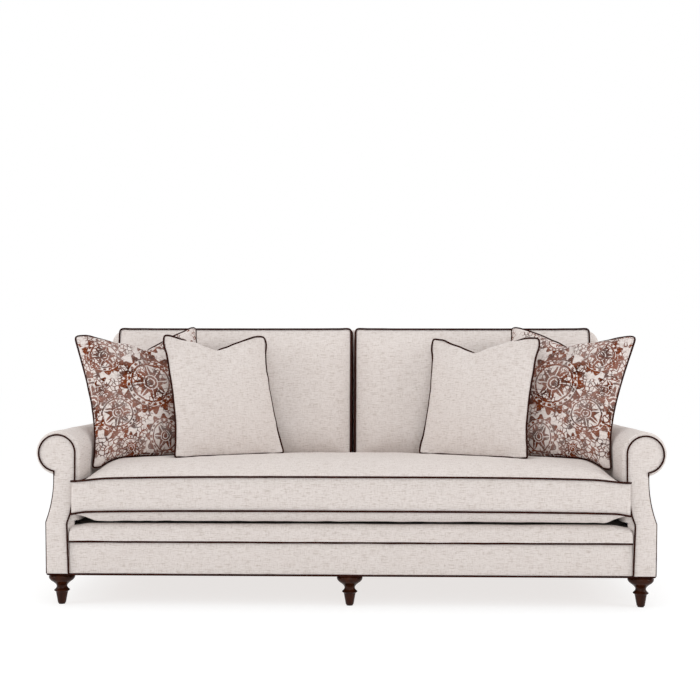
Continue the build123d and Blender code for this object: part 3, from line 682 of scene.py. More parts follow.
def pad_block(low, high, edge):
    """A block with rounded edges, its sides divided into cells, for a pad."""
    bm = bmesh.new()
    bmesh.ops.create_cube(bm, size=1.0)
    size = high - low
    bmesh.ops.scale(bm, vec=size, verts=bm.verts)
    bmesh.ops.translate(bm, vec=(low + high) / 2, verts=bm.verts)
    bmesh.ops.bevel(bm, geom=bm.edges[:], offset=edge, affect="EDGES", segments=4, profile=0.5, material=-1)
    for axis in range(3):
        flat = size[axis] - 2 * edge
        cuts = int(flat / PAD_CELL)
        lengths = {e: abs(e.verts[0].co[axis] - e.verts[1].co[axis]) for e in bm.edges}
        long_edges = [e for e, length in lengths.items() if abs(length - flat) < 1e-6]
        if cuts > 0:
            bmesh.ops.subdivide_edges(bm, edges=long_edges, cuts=cuts, use_grid_fill=True)
    return bm


band_low, band_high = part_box("front_band")
bm = pad_block(band_low, band_high, BAND_EDGE)
for vert in bm.verts:
    if vert.co.y < (band_low.y + band_high.y) / 2:
        up = (vert.co.z - band_low.z) / (band_high.z - band_low.z)
        vert.co.y -= BAND_SWELL * math.sin(math.pi * min(max(up, 0), 1))
soften(bm, *BAND_SOFT)
linen_cover(bm, "front_band_cover", "front_band")


# Deck: a felt pad on the springs under plain cloth coloured near black as painted shade, where the seat
# cushion rests, and at its front the soft rolled lip in linen, sewn to that cloth behind its nose, which
# rounds down at both ends.
# Deck cloth colours: painted shade, dark enough for the shadowed slit between the lip and the seat cushion.
DECKING_SHADE_PALE = (0.060, 0.048, 0.040, 1)
DECKING_SHADE_DARK = (0.022, 0.017, 0.014, 1)
SHADE_DECKING = woven("decking_cloth_painted_shade", DECKING_SHADE_PALE, DECKING_SHADE_DARK)
DECK_EDGE = 0.008
DECK_SAG = 0.004
deck_low, deck_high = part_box("deck_pad")
bm = pad_block(deck_low, deck_high, DECK_EDGE)
for vert in bm.verts:
    across = 1 - (vert.co.x / deck_high.x) ** 2
    vert.co.z -= DECK_SAG * across * (vert.co.z - deck_low.z) / (deck_high.z - deck_low.z)
new_piece(bm, "deck_pad_cover", SHADE_DECKING, "frame", ["deck_pad"])

LIP_ROWS = 130
LIP_NOSE_R = 0.028
LIP_FRONT_FALL = 0.0078
LIP_SHELF_RISE = 0.020
LIP_END_LENGTH = 0.068
LIP_END_FALL = 0.010
LIP_END_R = 0.012
LIP_SEWN = 0.024
LIP_HEEL_RISE = 0.020
LIP_SOFT = (0.0015, 0.12)


def lip_profile():
    """The lip's cut in depth and height, drawn as x and z."""
    nose_z = lip_high.z - LIP_FRONT_FALL - LIP_NOSE_R
    points = run((lip_low.y, lip_low.z), (lip_low.y, nose_z), steps=5)
    points += arc(lip_low.y + LIP_NOSE_R, nose_z, LIP_NOSE_R, 180, 90, steps=10)
    shelf = (lip_high.y - LIP_SHELF_RISE, points[-1][1])
    points += run(points[-1], shelf, steps=3)[1:] + run(shelf, (lip_high.y, lip_high.z), steps=3)
    heel = (lip_high.y, lip_low.z + LIP_HEEL_RISE)
    return points + [(lip_high.y, lip_high.z), heel, (facing_high.y, lip_low.z)]


bm = drawn_out(lip_profile(), LIP_ROWS)
lip_height = lip_high.z - lip_low.z
for vert in bm.verts:
    deep, along, z = vert.co
    x = -lip_high.x * math.cos(math.pi * along)
    into_end = lip_high.x - abs(x)
    into_round = min(1.0, max(0.0, 1 - into_end / LIP_END_R))
    fall = LIP_END_FALL * ease(1 - into_end / LIP_END_LENGTH) + LIP_END_R * fall_away(into_round)
    z -= fall * (z - lip_low.z) / lip_height
    vert.co = (x, deep, z)
soften(bm, *LIP_SOFT)
lip_cover = linen_cover(bm, "deck_lip_cover", "deck_lip")
# The lip's top behind its sewn line takes the near-black deck cloth, as painted shade in the slit under the
# seat cushion.
lip_cover.data.materials.append(SHADE_DECKING)
for face in lip_cover.data.polygons:
    face.material_index = int(face.center.y > lip_low.y + LIP_SEWN)


# Upholstered back: a deep pad on the straps, shaped round the two arm rolls, a thin pad over the top and
# sides of the frame, and the outside back, a flat linen panel from the top down to the base.
BACK_CORNER_R = 0.060
BACK_PAD = (0.071, 0.121)
BACK_BORDER = (0.008, 0.071)
BACK_BORDER_T = 0.012
OUTSIDE_BACK_T = 0.008
PAD_EDGE = 0.014
PAD_FOOT_RISE = 0.004
PAD_STEP = 0.001
BORDER_EDGE = 0.001
BORDER_STEP = 0.004
OUTSIDE_BACK_EDGE = 0.003
RIM_TURN = 0.5
ROLL_CLEAR = 0.0005
ROLL_END_TURN = 86.3
border_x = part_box("back_top_pad")[1].x
pad_foot_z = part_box("inside_back_pad")[0].z
back_length = back_high.z / math.cos(RAKE)
to_back = Matrix(((1, 0, 0, 0), (0, math.sin(RAKE), -math.cos(RAKE), back_foot_y),
                  (0, math.cos(RAKE), math.sin(RAKE), 0), (0, 0, 0, 1)))


def up_rake(z, forward):
    """Distance up the rake at height z, on a plane that far in front of the outside back."""
    return (z - forward * math.sin(RAKE)) / math.cos(RAKE)


def shoulder_line(half_x, start_v, inset):
    """Right half of the back's outline in x and v: up its side, round the corner to the middle of the top."""
    top = back_length - inset
    radius = BACK_CORNER_R - inset
    side = half_x - inset
    points = run((side, start_v), (side, top - radius), steps=8)
    points += arc(side - radius, top - radius, radius, 0, 90, steps=10)
    return points + run((side - radius, top), (0, top), steps=24)[1:]


def both_halves(points):
    """A right half line, and the same one mirrored and reversed, as one line."""
    return points + [(0.0, points[-1][1])] + [(-x, v) for x, v in reversed(points)]


def layer(points, near, far, edge):
    """A closed outline in x and v, given thickness between two depths, its front edge rounded."""
    bm = bmesh.new()
    face = bm.faces.new([bm.verts.new((x, v, near)) for x, v in points])
    grown = bmesh.ops.extrude_face_region(bm, geom=[face], use_keep_orig=True)
    front = [item for item in grown["geom"] if isinstance(item, bmesh.types.BMVert)]
    bmesh.ops.translate(bm, verts=front, vec=(0, 0, far - near))
    bmesh.ops.recalc_face_normals(bm, faces=bm.faces)
    raised = set(front)
    rim = [e for e in bm.edges if raised.issuperset(e.verts) and e.calc_face_angle(0) > RIM_TURN]
    bmesh.ops.bevel(bm, geom=rim, offset=edge, affect="EDGES", segments=4, profile=0.5, material=-1)
    bmesh.ops.transform(bm, matrix=to_back, verts=bm.verts)
    return bm


roll_v = up_rake(roll_z, BACK_PAD[1])
room = ROLL_R + ROLL_CLEAR
round_roll = arc(roll_x, roll_v, room, 180, ROLL_END_TURN, steps=14)
pad_side = inside_x - ROLL_CLEAR
pad_foot_v = up_rake(pad_foot_z, BACK_PAD[1]) + PAD_FOOT_RISE
pad_line = run((pad_side, pad_foot_v), (pad_side, roll_v), steps=6)
pad_line += round_roll[:-1] + shoulder_line(border_x, roll_v + room + PAD_STEP, 0)
bm = layer(both_halves(pad_line), *BACK_PAD, PAD_EDGE)
linen_cover(bm, "inside_back_cover", "inside_back_pad")

border_start = roll_v + room + BORDER_STEP
border = both_halves(shoulder_line(border_x, border_start, 0))
within = both_halves(shoulder_line(border_x, border_start, BACK_BORDER_T))
bm = layer(border + within[::-1], *BACK_BORDER, BORDER_EDGE)
linen_cover(bm, "back_border_cover", "back_top_pad")

waist_v = up_rake(roll_z - ROLL_R, 0)
outside_line = [(back_high.x, up_rake(back_low.z, 0)), (back_high.x, waist_v)]
outside_line += shoulder_line(border_x, up_rake(roll_z + ROLL_R, 0), 0)
bm = layer(both_halves(outside_line), OUTSIDE_BACK_T, 0, OUTSIDE_BACK_EDGE)
linen_cover(bm, "outside_back_cover", "outside_back")


# Welts of the fixed upholstery: cotton cord in bias strips of dark brown cloth, sewn in at the base, under
# the lip and round each facing.
WELT_R = 0.0036
WELT_UNEVEN = 0.06
WELT_UNEVEN_LENGTH = 0.03
LIP_WELT_WANDER = 0.0012
LIP_WELT_WANDER_LENGTH = 0.1
BASE_CORNER_R = 0.005
FACING_WELT_R = 0.0030
FACING_WELT_TUCK = 0.0055
FACING_WELT_TUCK_LENGTH = 0.02
WELT_BROWN = (0.022, 0.0038, 0.0021, 1)
WELT_WORN = (0.085, 0.020, 0.010, 1)


def welt_cloth():
    finish, tree, shader = new_finish("dark_welt")
    at = on_piece(tree)
    slant = place(tree, "ShaderNodeMapping", {"Vector": at, "Rotation": (0.6, 0.6, 0.6)})
    twill = place(tree, "ShaderNodeTexWave", {"Vector": slant.outputs[0], "Scale": 260.0, "Distortion": 1.5})
    rubbed = ramp(tree, stretched_noise(tree, at, (55.0, 55.0, 55.0), 5.0), 0.52, 0.80)
    wear = calc(tree, "MULTIPLY_ADD", twill.outputs["Fac"], 0.18, calc(tree, "MULTIPLY", rubbed, 0.45))
    colour = blend_colour(tree, wear, WELT_BROWN, WELT_WORN)
    surface(tree, shader, colour, twill.outputs["Fac"], strength=0.5, depth=0.0005,
            sockets={"Roughness": 0.85, "Specular IOR Level": 0.12})
    return finish


WELT_CLOTH = welt_cloth()


def welt(name, runs, body, stands_for, radius=WELT_R):
    """Covered cord along each run of points; a run is (points, whether it closes on itself)."""
    path = bpy.data.curves.new(name, "CURVE")
    path.dimensions = "3D"
    path.bevel_depth = radius
    path.bevel_resolution = 3
    path.use_fill_caps = True
    for points, closed in runs:
        spline = path.splines.new("POLY")
        spline.points.add(len(points) - 1)
        spline.use_cyclic_u = closed
        for spot, point in zip(spline.points, points):
            spot.co = (*point, 1)
            spot.radius = 1 + WELT_UNEVEN * noise.noise(Vector(point) / WELT_UNEVEN_LENGTH)
    guide = bpy.data.objects.new(name, path)
    mesh = bpy.data.meshes.new_from_object(guide)
    bpy.data.objects.remove(guide)
    mesh.name = name
    bm = bmesh.new()
    bm.from_mesh(mesh)
    bpy.data.meshes.remove(mesh)
    return new_piece(bm, name, WELT_CLOTH, body, stands_for)


lip_welt_low, lip_welt_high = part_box("lip_welt")
lip_welt_middle = (lip_welt_low + lip_welt_high) / 2
lip_line = []
for x, z in run((lip_welt_low.x, lip_welt_middle.z), (lip_welt_high.x, lip_welt_middle.z), steps=80):
    wander = LIP_WELT_WANDER * noise.noise(Vector((x / LIP_WELT_WANDER_LENGTH, 0, 0)))
    lip_line.append(Vector((x, lip_welt_middle.y, z + wander)))
lip_line.append(Vector((lip_welt_high.x, lip_welt_middle.y, lip_welt_middle.z)))
welt("lip_welt_cord", [(lip_line, False)], "frame", ["lip_welt"])

base_low, base_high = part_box("base_welt")
base_z = (base_low.z + base_high.z) / 2
reach = Vector((base_high.x - BASE_CORNER_R, base_high.y - WELT_R - BASE_CORNER_R))
front_reach = base_low.y + WELT_R + BASE_CORNER_R
base_line = []
base_corners = ((reach.x, front_reach), (reach.x, reach.y), (-reach.x, reach.y), (-reach.x, front_reach))
for number, corner in enumerate(base_corners):
    base_line += arc(*corner, BASE_CORNER_R, 90 * number - 90, 90 * number, steps=6)
welt("base_welt_cord", [([Vector((x, y, base_z)) for x, y in base_line], True)], "frame", ["base_welt"])

facing_runs = []
for sign in (-1, 1):
    cord = []
    for x, z in facing_line():
        tucked = ease((facing_neck_z - z) / FACING_WELT_TUCK_LENGTH) if x > roll_x - NECK_OUT else 0.0
        cord.append(Vector((sign * x, facing_low.y - FACING_WELT_R + FACING_WELT_TUCK * tucked, z)))
    facing_runs.append((cord, False))
welt("facing_welt_cord", facing_runs, "frame", ["facing_welts"], FACING_WELT_R)


# Seat cushion: one long boxed cushion of foam and fibre in a linen cover, a welt at each seam. It is pushed
# in between the arms, so its front corners spread a little over the facings.
PUFF_FRAMES = 20
SEAT_CELL = 0.014
SEAT_FINER_EDGE = 1.3
SEAT_PRESSURE = 3.0
SEAT_SWELL = 0.004
SEAT_FOLDS = (0.0022, 0.05, 0.03)
WELT_SEWN_IN = 0.9
SEAT_CORNER_R = 0.010
SEAT_TOP_CROWN = 0.050
SEAT_TOP_SHOULDER = 0.250
SEAT_TOP_SIDE = 0.100
SEAT_REAR_SHOULDER = 0.060
SEAT_LOW_CROWN = 0.040
SEAT_LOW_FRONT_SHOULDER = 0.034
SEAT_LOW_SHOULDER = 0.110
SEAT_LOW_SIDE = 0.049
SEAT_LOW_DROP = 0.001
SEAT_END_DROP = 0.006
SEAT_CORNER_DROP = 0.0075
SEAT_CORNER_LENGTH = 0.115
SEAT_SPILL = 0.014
SEAT_SPREAD = 0.035
SEAT_SPREAD_LENGTH = 0.008
SEAT_SEAM_RISE = 0.011
SEAT_LOW_SEAM_SHARE = 0.55
SEAT_REAR_SINK = 0.026
SEAT_REAR_SINK_LENGTH = 0.12
SEAT_REAR_SINK_SIDE = 0.06
SEAT_DENT = 0.016
SEAT_DENT_WIDTH = 0.032
SEAT_CLEAR = 0.001
PILLOW_FOOT_IN = 0.060
PILLOW_FOOT_BACK = 0.004
PILLOW_FOOT_DEPTH = 0.270


def round_corners(bm, half_x, half_y, corner):
    """Pulls the corners of a flat panel in to a radius."""
    for vert in bm.verts:
        past_x = abs(vert.co.x) - half_x + corner
        past_y = abs(vert.co.y) - half_y + corner
        if past_x > 0 and past_y > 0:
            pull = max(past_x, past_y) / math.hypot(past_x, past_y)
            vert.co.x = math.copysign(half_x - corner + past_x * pull, vert.co.x)
            vert.co.y = math.copysign(half_y - corner + past_y * pull, vert.co.y)


def boxed_blank(half_x, half_y, corner, thick, cell, finer_edge):
    """Two flat panels with round corners and a boxing strip between, and the vertices of its two seams.
    A finer_edge above one gathers the cells towards the edges."""
    bm = bmesh.new()
    columns, rows = round(2 * half_x / cell), round(2 * half_y / cell)
    bmesh.ops.create_grid(bm, x_segments=columns, y_segments=rows, size=1.0)
    for vert in bm.verts:
        for axis, half in ((0, half_x), (1, half_y)):
            from_edge = 1 - min(1.0, abs(vert.co[axis]))
            vert.co[axis] = math.copysign(half * (1 - from_edge ** finer_edge), vert.co[axis])
    round_corners(bm, half_x, half_y, corner)
    low_faces = bm.faces[:]
    grown = bmesh.ops.extrude_face_region(bm, geom=low_faces, use_keep_orig=True)
    high = [item for item in grown["geom"] if isinstance(item, bmesh.types.BMVert)]
    bmesh.ops.translate(bm, verts=high, vec=(0, 0, thick))
    bmesh.ops.translate(bm, verts=bm.verts, vec=(0, 0, -thick / 2))
    bmesh.ops.recalc_face_normals(bm, faces=bm.faces)
    risers = [e for e in bm.edges if abs(e.verts[0].co.z - e.verts[1].co.z) > thick / 2]
    bmesh.ops.subdivide_edges(bm, edges=risers, cuts=max(1, round(thick / cell) - 1), use_grid_fill=True)
    bm.normal_update()
    seams = []
    for level in (-thick / 2, thick / 2):
        seams.append(seam_loop([v for v in bm.verts if abs(v.co.z - level) < 1e-6
                                and any(abs(f.normal.z) < 0.5 for f in v.link_faces)]))
    return bm, seams


def seam_loop(verts):
    """The vertices of a seam, in order round the cushion."""
    left = set(verts)
    loop = [verts[0]]
    left.discard(verts[0])
    while left:
        near = [e.other_vert(loop[-1]) for e in loop[-1].link_edges]
        following = [v for v in near if v in left]
        if not following:
            break
        loop.append(following[0])
        left.discard(following[0])
    return loop


def rise(inset, shoulder):
    """How much of its crown a panel has at that distance in from a seam."""
    share = min(max(inset / shoulder, 0.0), 1.0)
    return (1 - (1 - share) ** 2) ** 0.75


def puff(bm, pressure, limit):
    """Swells a cover as its filling does, by Cloth under pressure. No point moves further than limit."""
    bm.verts.index_update()
    mesh = bpy.data.meshes.new("swelling")
    bm.to_mesh(mesh)
    cover = bpy.data.objects.new("swelling", mesh)
    bpy.context.scene.collection.objects.link(cover)
    cloth = cover.modifiers.new("swelling", "CLOTH")
    cloth.settings.use_pressure = True
    cloth.settings.uniform_pressure_force = pressure
    cloth.settings.effector_weights.gravity = 0.0
    cloth.settings.quality = 4
    cloth.collision_settings.use_collision = False
    for number in range(1, PUFF_FRAMES + 1):
        bpy.context.scene.frame_set(number)
    swollen = cover.evaluated_get(bpy.context.evaluated_depsgraph_get()).data
    for vert, moved in zip(bm.verts, swollen.vertices):
        shift = moved.co - vert.co
        if shift.length > 1e-9:
            vert.co += shift.normalized() * limit * math.tanh(shift.length / limit)
    bpy.context.scene.frame_set(1)
    bpy.data.objects.remove(cover)
    bpy.data.meshes.remove(mesh)


def pucker(bm, seam_points, height, length, fade):
    """Small folds that start at a seam, about length apart, and fade out into the panel."""
    bm.normal_update()
    for vert in bm.verts:
        away = seam_points(vert.co)
        fold = noise.noise(Vector((vert.co.x / length, vert.co.y / length, vert.co.z / length)))
        vert.co += vert.normal * height * fold * away / fade * math.exp(1 - away / fade)


def outward(loop, distance):
    """Points just off a seam, pushed out of the cushion along its normals."""
    spots = [vert.co + vert.normal * distance for vert in loop]
    count = len(spots)
    return [(spots[i - 1] + spots[i] * 2 + spots[(i + 1) % count]) / 4 for i in range(count)]


def smooth_piece(piece):
    finer = piece.modifiers.new("finer", "SUBSURF")
    finer.levels = 1
    finer.render_levels = 1
    return piece


seat_low, seat_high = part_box("seat_cushion_cover")
welt_low, welt_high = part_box("seat_cushion_welts")
seat_front = seat_low.y - SEAT_SPILL
seat_half_x = seat_high.x
seat_half_y = (seat_high.y - seat_front) / 2
seat_middle_y = (seat_high.y + seat_front) / 2
low_seam_z = welt_low.z + WELT_R - SEAT_LOW_DROP
high_seam_z = welt_high.z - WELT_R
boxing = high_seam_z - low_seam_z
seat_middle_z = (low_seam_z + high_seam_z) / 2
facing_clear = facing_low.y - 2 * WELT_R - SEAT_CLEAR
seat_floor = lip_high.z + SEAT_CLEAR - seat_middle_z


def pillow_foot(kind):
    """The line on the seat where the right pillow of a kind stands, from its arm end to its inner end."""
    low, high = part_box(f"pillow_{kind}_right")
    arm_end = Vector((high.x - PILLOW_FOOT_IN, low.y + PILLOW_FOOT_BACK, 0))
    return arm_end, Vector((low.x, low.y + PILLOW_FOOT_DEPTH, 0))


pillow_feet = [pillow_foot("outer"), pillow_foot("inner")]


def pressed(x, y):
    """How far the nearest pillow presses into the seat cushion there."""
    at = Vector((abs(x), y, 0))
    near = []
    for first, last in pillow_feet:
        share = intersect_point_line(at, first, last)[1]
        near.append((first.lerp(last, min(1.0, max(0.0, share))) - at).length)
    return SEAT_DENT * math.exp(-(min(near) / SEAT_DENT_WIDTH) ** 2)


bm, seat_seams = boxed_blank(seat_half_x, seat_half_y, SEAT_CORNER_R, boxing, SEAT_CELL, SEAT_FINER_EDGE)
for vert in bm.verts:
    x, y, z = vert.co
    sides = seat_half_x - abs(x)
    front = y + seat_half_y
    rear = seat_half_y - y
    if z > boxing / 2 - 1e-6:
        share = rise(sides, SEAT_TOP_SIDE) * rise(front, SEAT_TOP_SHOULDER) * rise(rear, SEAT_REAR_SHOULDER)
        sunk = ease((y + seat_middle_y) / SEAT_REAR_SINK_LENGTH) * rise(sides, SEAT_REAR_SINK_SIDE)
        z += SEAT_TOP_CROWN * share - SEAT_REAR_SINK * sunk
    elif z < -boxing / 2 + 1e-6:
        share = min(1.0, sides / SEAT_LOW_SIDE)
        share *= rise(front, SEAT_LOW_FRONT_SHOULDER) * rise(rear, SEAT_LOW_SHOULDER)
        z -= SEAT_LOW_CROWN * share
    vert.co.z = z
puff(bm, SEAT_PRESSURE, SEAT_SWELL)
for vert in bm.verts:
    x, y, z = vert.co
    sides = seat_half_x - abs(x)
    bowed = 1 - (x / seat_half_x) ** 4
    near_front = ease(0.5 - y / seat_half_y)
    up = min(1.0, max(0.0, z / boxing + 0.5))
    if z > boxing / 2:
        z -= pressed(x, y + seat_middle_y) * rise(sides, SEAT_TOP_SIDE)
    seam_share = SEAT_LOW_SEAM_SHARE + (1 - SEAT_LOW_SEAM_SHARE) * up
    z += SEAT_SEAM_RISE * (bowed - 0.5) * near_front * seam_share
    z -= SEAT_END_DROP * ease(1 - sides / SEAT_LOW_SIDE) * near_front * (1 - up)
    z -= SEAT_CORNER_DROP * ease(1 - sides / SEAT_CORNER_LENGTH) * near_front * up
    ahead = ease((facing_clear - y - seat_middle_y) / SEAT_SPREAD_LENGTH)
    spread = SEAT_SPREAD * ahead * min(1.0, abs(x) / seat_half_x) ** 6
    vert.co = (x + math.copysign(spread, x), y, max(z, seat_floor))
pucker(bm, lambda at: abs(abs(at.z) - boxing / 2), *SEAT_FOLDS)
lay_cloth(bm)
bmesh.ops.translate(bm, verts=bm.verts, vec=(0, seat_middle_y, seat_middle_z))
bm.normal_update()
seat_welts = [(outward(loop, WELT_R * WELT_SEWN_IN), True) for loop in seat_seams]
seat_top = BVHTree.FromBMesh(bm)
smooth_piece(new_piece(bm, "seat_cushion_linen", LINEN, "seat_cushion",
                       ["seat_cushion_cover", "seat_cushion_core"], sharp=180))
welt("seat_welt_cord", seat_welts, "seat_cushion", ["seat_cushion_welts"])


# Back cushions: two loose boxed cushions of fibre in linen, leaning on the raked back, their undersides on
# the seat cushion, a welt at the front and the rear seam.
BACK_CELL = 0.014
BACK_FINER_EDGE = 1.2
BACK_PRESSURE = 3.0
BACK_SWELL = 0.005
BACK_FOLDS = (0.0025, 0.05, 0.035)
BACK_CUSHION_CORNER_R = 0.011
BACK_FRONT_CROWN = 0.045
BACK_REAR_CROWN = 0.025
BACK_SHOULDER = 0.130
BACK_CUSHION_H = 0.511
BACK_FOOT_Z = 0.4745
BACK_BOXING = 0.165
BACK_REAR_SEAM = 0.1463
BACK_OVER_ARM = 0.015
BACK_OVER_ARM_RISE = 0.08
BACK_MIDDLE_GAP = 0.0061
back_half_x = (seat_half_x - BACK_MIDDLE_GAP) / 2
for side, sign in SIDES:
    bm, back_seams = boxed_blank(back_half_x, BACK_CUSHION_H / 2, BACK_CUSHION_CORNER_R, BACK_BOXING,
                                 BACK_CELL, BACK_FINER_EDGE)
    for vert in bm.verts:
        x, y, z = vert.co
        sides = back_half_x - abs(x)
        ends = BACK_CUSHION_H / 2 - abs(y)
        if abs(z) > BACK_BOXING / 2 - 1e-6:
            share = rise(sides, BACK_SHOULDER) * rise(ends, BACK_SHOULDER)
            z += share * (BACK_FRONT_CROWN if z > 0 else -BACK_REAR_CROWN)
        vert.co.z = z
    puff(bm, BACK_PRESSURE, BACK_SWELL)
    pucker(bm, lambda at: abs(abs(at.z) - BACK_BOXING / 2), *BACK_FOLDS)
    lay_cloth(bm)
    for vert in bm.verts:
        x, y, z = vert.co
        forward = BACK_REAR_SEAM + BACK_BOXING / 2 + z
        foot = (BACK_FOOT_Z - forward * math.sin(RAKE)) / math.cos(RAKE)
        outer = 0.5 + x * sign / (2 * back_half_x)
        spot = Vector((BACK_MIDDLE_GAP + 2 * back_half_x * outer, foot + BACK_CUSHION_H / 2 + y, forward))
        vert.co = to_back @ spot
        vert.co.x += BACK_OVER_ARM * outer ** 3 * ease((vert.co.z - arm_high.z) / BACK_OVER_ARM_RISE)
        vert.co.x *= sign
    bmesh.ops.recalc_face_normals(bm, faces=bm.faces)
    back_welts = [(outward(loop, WELT_R * WELT_SEWN_IN), True) for loop in back_seams]
    smooth_piece(new_piece(bm, f"back_cushion_linen_{side}", LINEN, f"back_cushion_{side}",
                           [f"back_cushion_{side}"], sharp=180))
    welt(f"back_welt_cord_{side}", back_welts, f"back_cushion_{side}", [f"back_cushion_welts_{side}"])


# Throw pillows: knife-edged feather pillows with ears, their tops chopped to a V. The two inner ones are in
# the oatmeal linen, the two outer ones in off-white linen with a worn brown print of rosettes.
PILLOW_CELL = 0.012
PILLOW_CORNER_R = 0.016
PILLOW_PRESSURE = 2.0
PILLOW_SWELL = 0.012
PILLOW_FOLDS = (0.004, 0.04, 0.04)
PILLOW_FOLD = 0.020
PILLOW_TUCK = 0.010
PILLOW_TUCK_FALL = 0.4
PILLOW_DIP_SPREAD = 0.86
PILLOW_DIP_POINT = 1.15
PILLOW_DIP_FROM = -0.25
PILLOW_CREASE_WIDTH = 0.028
PILLOW_CREASE_DEPTH = 0.45
PILLOW_CREASE_FROM = 0.25
PILLOW_CREASE_LENGTH = 0.7
PILLOW_FOLD_START = 0.35
PILLOW_FOLD_END = 0.03
PILLOW_WAIST_LOW = 0.7
PILLOW_WELT_SEWN_IN = 0.8
PILLOW_CLEAR = 0.0005
SETTLE_EDGE = 0.014
SETTLE_ABOVE = 0.2
SETTLE_UP_TO = 0.1
PRINT_GROUND = (0.790, 0.708, 0.674, 1)
PRINT_PALE = (0.870, 0.820, 0.795, 1)
PRINT_BROWN = (0.195, 0.039, 0.008, 1)
PRINT_DARK = (0.060, 0.012, 0.004, 1)
# Each rosette of the print: its place across and up from the middle, its radius and its count of petals.
ROSETTES = (
    (-0.020, 0.030, 0.125, 8), (0.165, 0.120, 0.085, 6), (-0.175, 0.150, 0.080, 6),
    (0.160, -0.085, 0.100, 10), (-0.165, -0.075, 0.090, 7), (0.010, -0.175, 0.085, 6),
    (0.020, 0.215, 0.070, 8), (-0.235, 0.035, 0.055, 6), (0.250, 0.020, 0.055, 6),
    (-0.130, -0.215, 0.060, 8), (0.150, -0.225, 0.055, 6))


def rosette():
    """A round flower: eye, ring, petals with pale veins, ring, beads and a scalloped fringe."""
    tree, given, result = shared_effect(
        "rosette",
        [("UV", "NodeSocketVector"), ("Across", "NodeSocketFloat"), ("Up", "NodeSocketFloat"),
         ("Radius", "NodeSocketFloat"), ("Petals", "NodeSocketFloat")],
        [("Mask", "NodeSocketFloat")])
    split = place(tree, "ShaderNodeSeparateXYZ", {0: given.outputs["UV"]})
    radius = given.outputs["Radius"]
    x = calc(tree, "DIVIDE", calc(tree, "SUBTRACT", split.outputs[0], given.outputs["Across"]), radius)
    y = calc(tree, "DIVIDE", calc(tree, "SUBTRACT", split.outputs[1], given.outputs["Up"]), radius)
    out = calc(tree, "SQRT", calc(tree, "ADD", calc(tree, "MULTIPLY", x, x), calc(tree, "MULTIPLY", y, y)))
    turn = calc(tree, "MULTIPLY", calc(tree, "ARCTAN2", y, x), given.outputs["Petals"])
    petal = calc(tree, "COSINE", turn)
    beads = calc(tree, "COSINE", calc(tree, "MULTIPLY", turn, 3.0))
    scallops = calc(tree, "COSINE", calc(tree, "MULTIPLY", turn, 2.0))

    def between(start, end):
        past = calc(tree, "GREATER_THAN", out, start)
        return calc(tree, "MULTIPLY", past, calc(tree, "LESS_THAN", out, end))

    mask = calc(tree, "LESS_THAN", out, 0.09)
    inner_ring = calc(tree, "COMPARE", out, 0.16, 0.035)
    petals = between(0.23, calc(tree, "MULTIPLY_ADD", petal, 0.11, 0.44))
    petals = calc(tree, "MULTIPLY", petals, calc(tree, "LESS_THAN", petal, 0.93))
    ring = calc(tree, "COMPARE", out, 0.60, 0.03)
    dots = calc(tree, "COMPARE", out, 0.69, 0.04)
    dots = calc(tree, "MULTIPLY", dots, calc(tree, "GREATER_THAN", beads, -0.1))
    fringe = between(0.75, calc(tree, "MULTIPLY_ADD", scallops, 0.10, 0.89))
    for part in (inner_ring, petals, ring, dots, fringe):
        mask = calc(tree, "MAXIMUM", mask, part)
    tree.links.new(mask, result.inputs["Mask"])
    return tree


def printed_linen():
    finish, tree, shader = new_finish("printed_linen")
    weave, uv = linen_threads(tree, PRINT_GROUND, PRINT_PALE)
    wobble = stretched_noise(tree, uv, (35.0, 35.0, 35.0), 3.0)
    shaken = place(tree, "ShaderNodeVectorMath", {0: uv, 1: calc(tree, "MULTIPLY", wobble, 0.012)})
    motif = rosette()
    mask = None
    for across, up, radius, petals in ROSETTES:
        drawn = {"UV": shaken.outputs[0], "Across": across, "Up": up, "Radius": radius, "Petals": petals}
        flower = use_effect(tree, motif, drawn).outputs[0]
        mask = flower if mask is None else calc(tree, "MAXIMUM", mask, flower)
    vines = place(tree, "ShaderNodeTexVoronoi", {"Vector": shaken.outputs[0], "Scale": 70.0},
                  feature="DISTANCE_TO_EDGE")
    sprigs = calc(tree, "LESS_THAN", vines.outputs["Distance"], 0.10)
    patches = ramp(tree, stretched_noise(tree, uv, (13.0, 13.0, 13.0), 2.0), 0.44, 0.51)
    mask = calc(tree, "MAXIMUM", mask, calc(tree, "MULTIPLY", sprigs, patches))
    worn = ramp(tree, stretched_noise(tree, uv, (110.0, 220.0, 110.0), 5.0), 0.27, 0.42)
    faded = ramp(tree, stretched_noise(tree, uv, (9.0, 9.0, 9.0), 2.0), 0.25, 0.6)
    left = calc(tree, "MULTIPLY", worn, calc(tree, "MULTIPLY_ADD", faded, 0.30, 0.70))
    ink = calc(tree, "MULTIPLY", mask, left)
    depth = ramp(tree, stretched_noise(tree, uv, (22.0, 22.0, 22.0), 3.0), 0.42, 0.64)
    brown = blend_colour(tree, depth, PRINT_BROWN, PRINT_DARK)
    colour = blend_colour(tree, ink, weave["Color"], brown)
    surface(tree, shader, colour, weave["Height"], strength=0.35, depth=0.0006,
            sockets={"Roughness": 0.9, "Specular IOR Level": 0.15, "Sheen Weight": 0.04})
    return finish


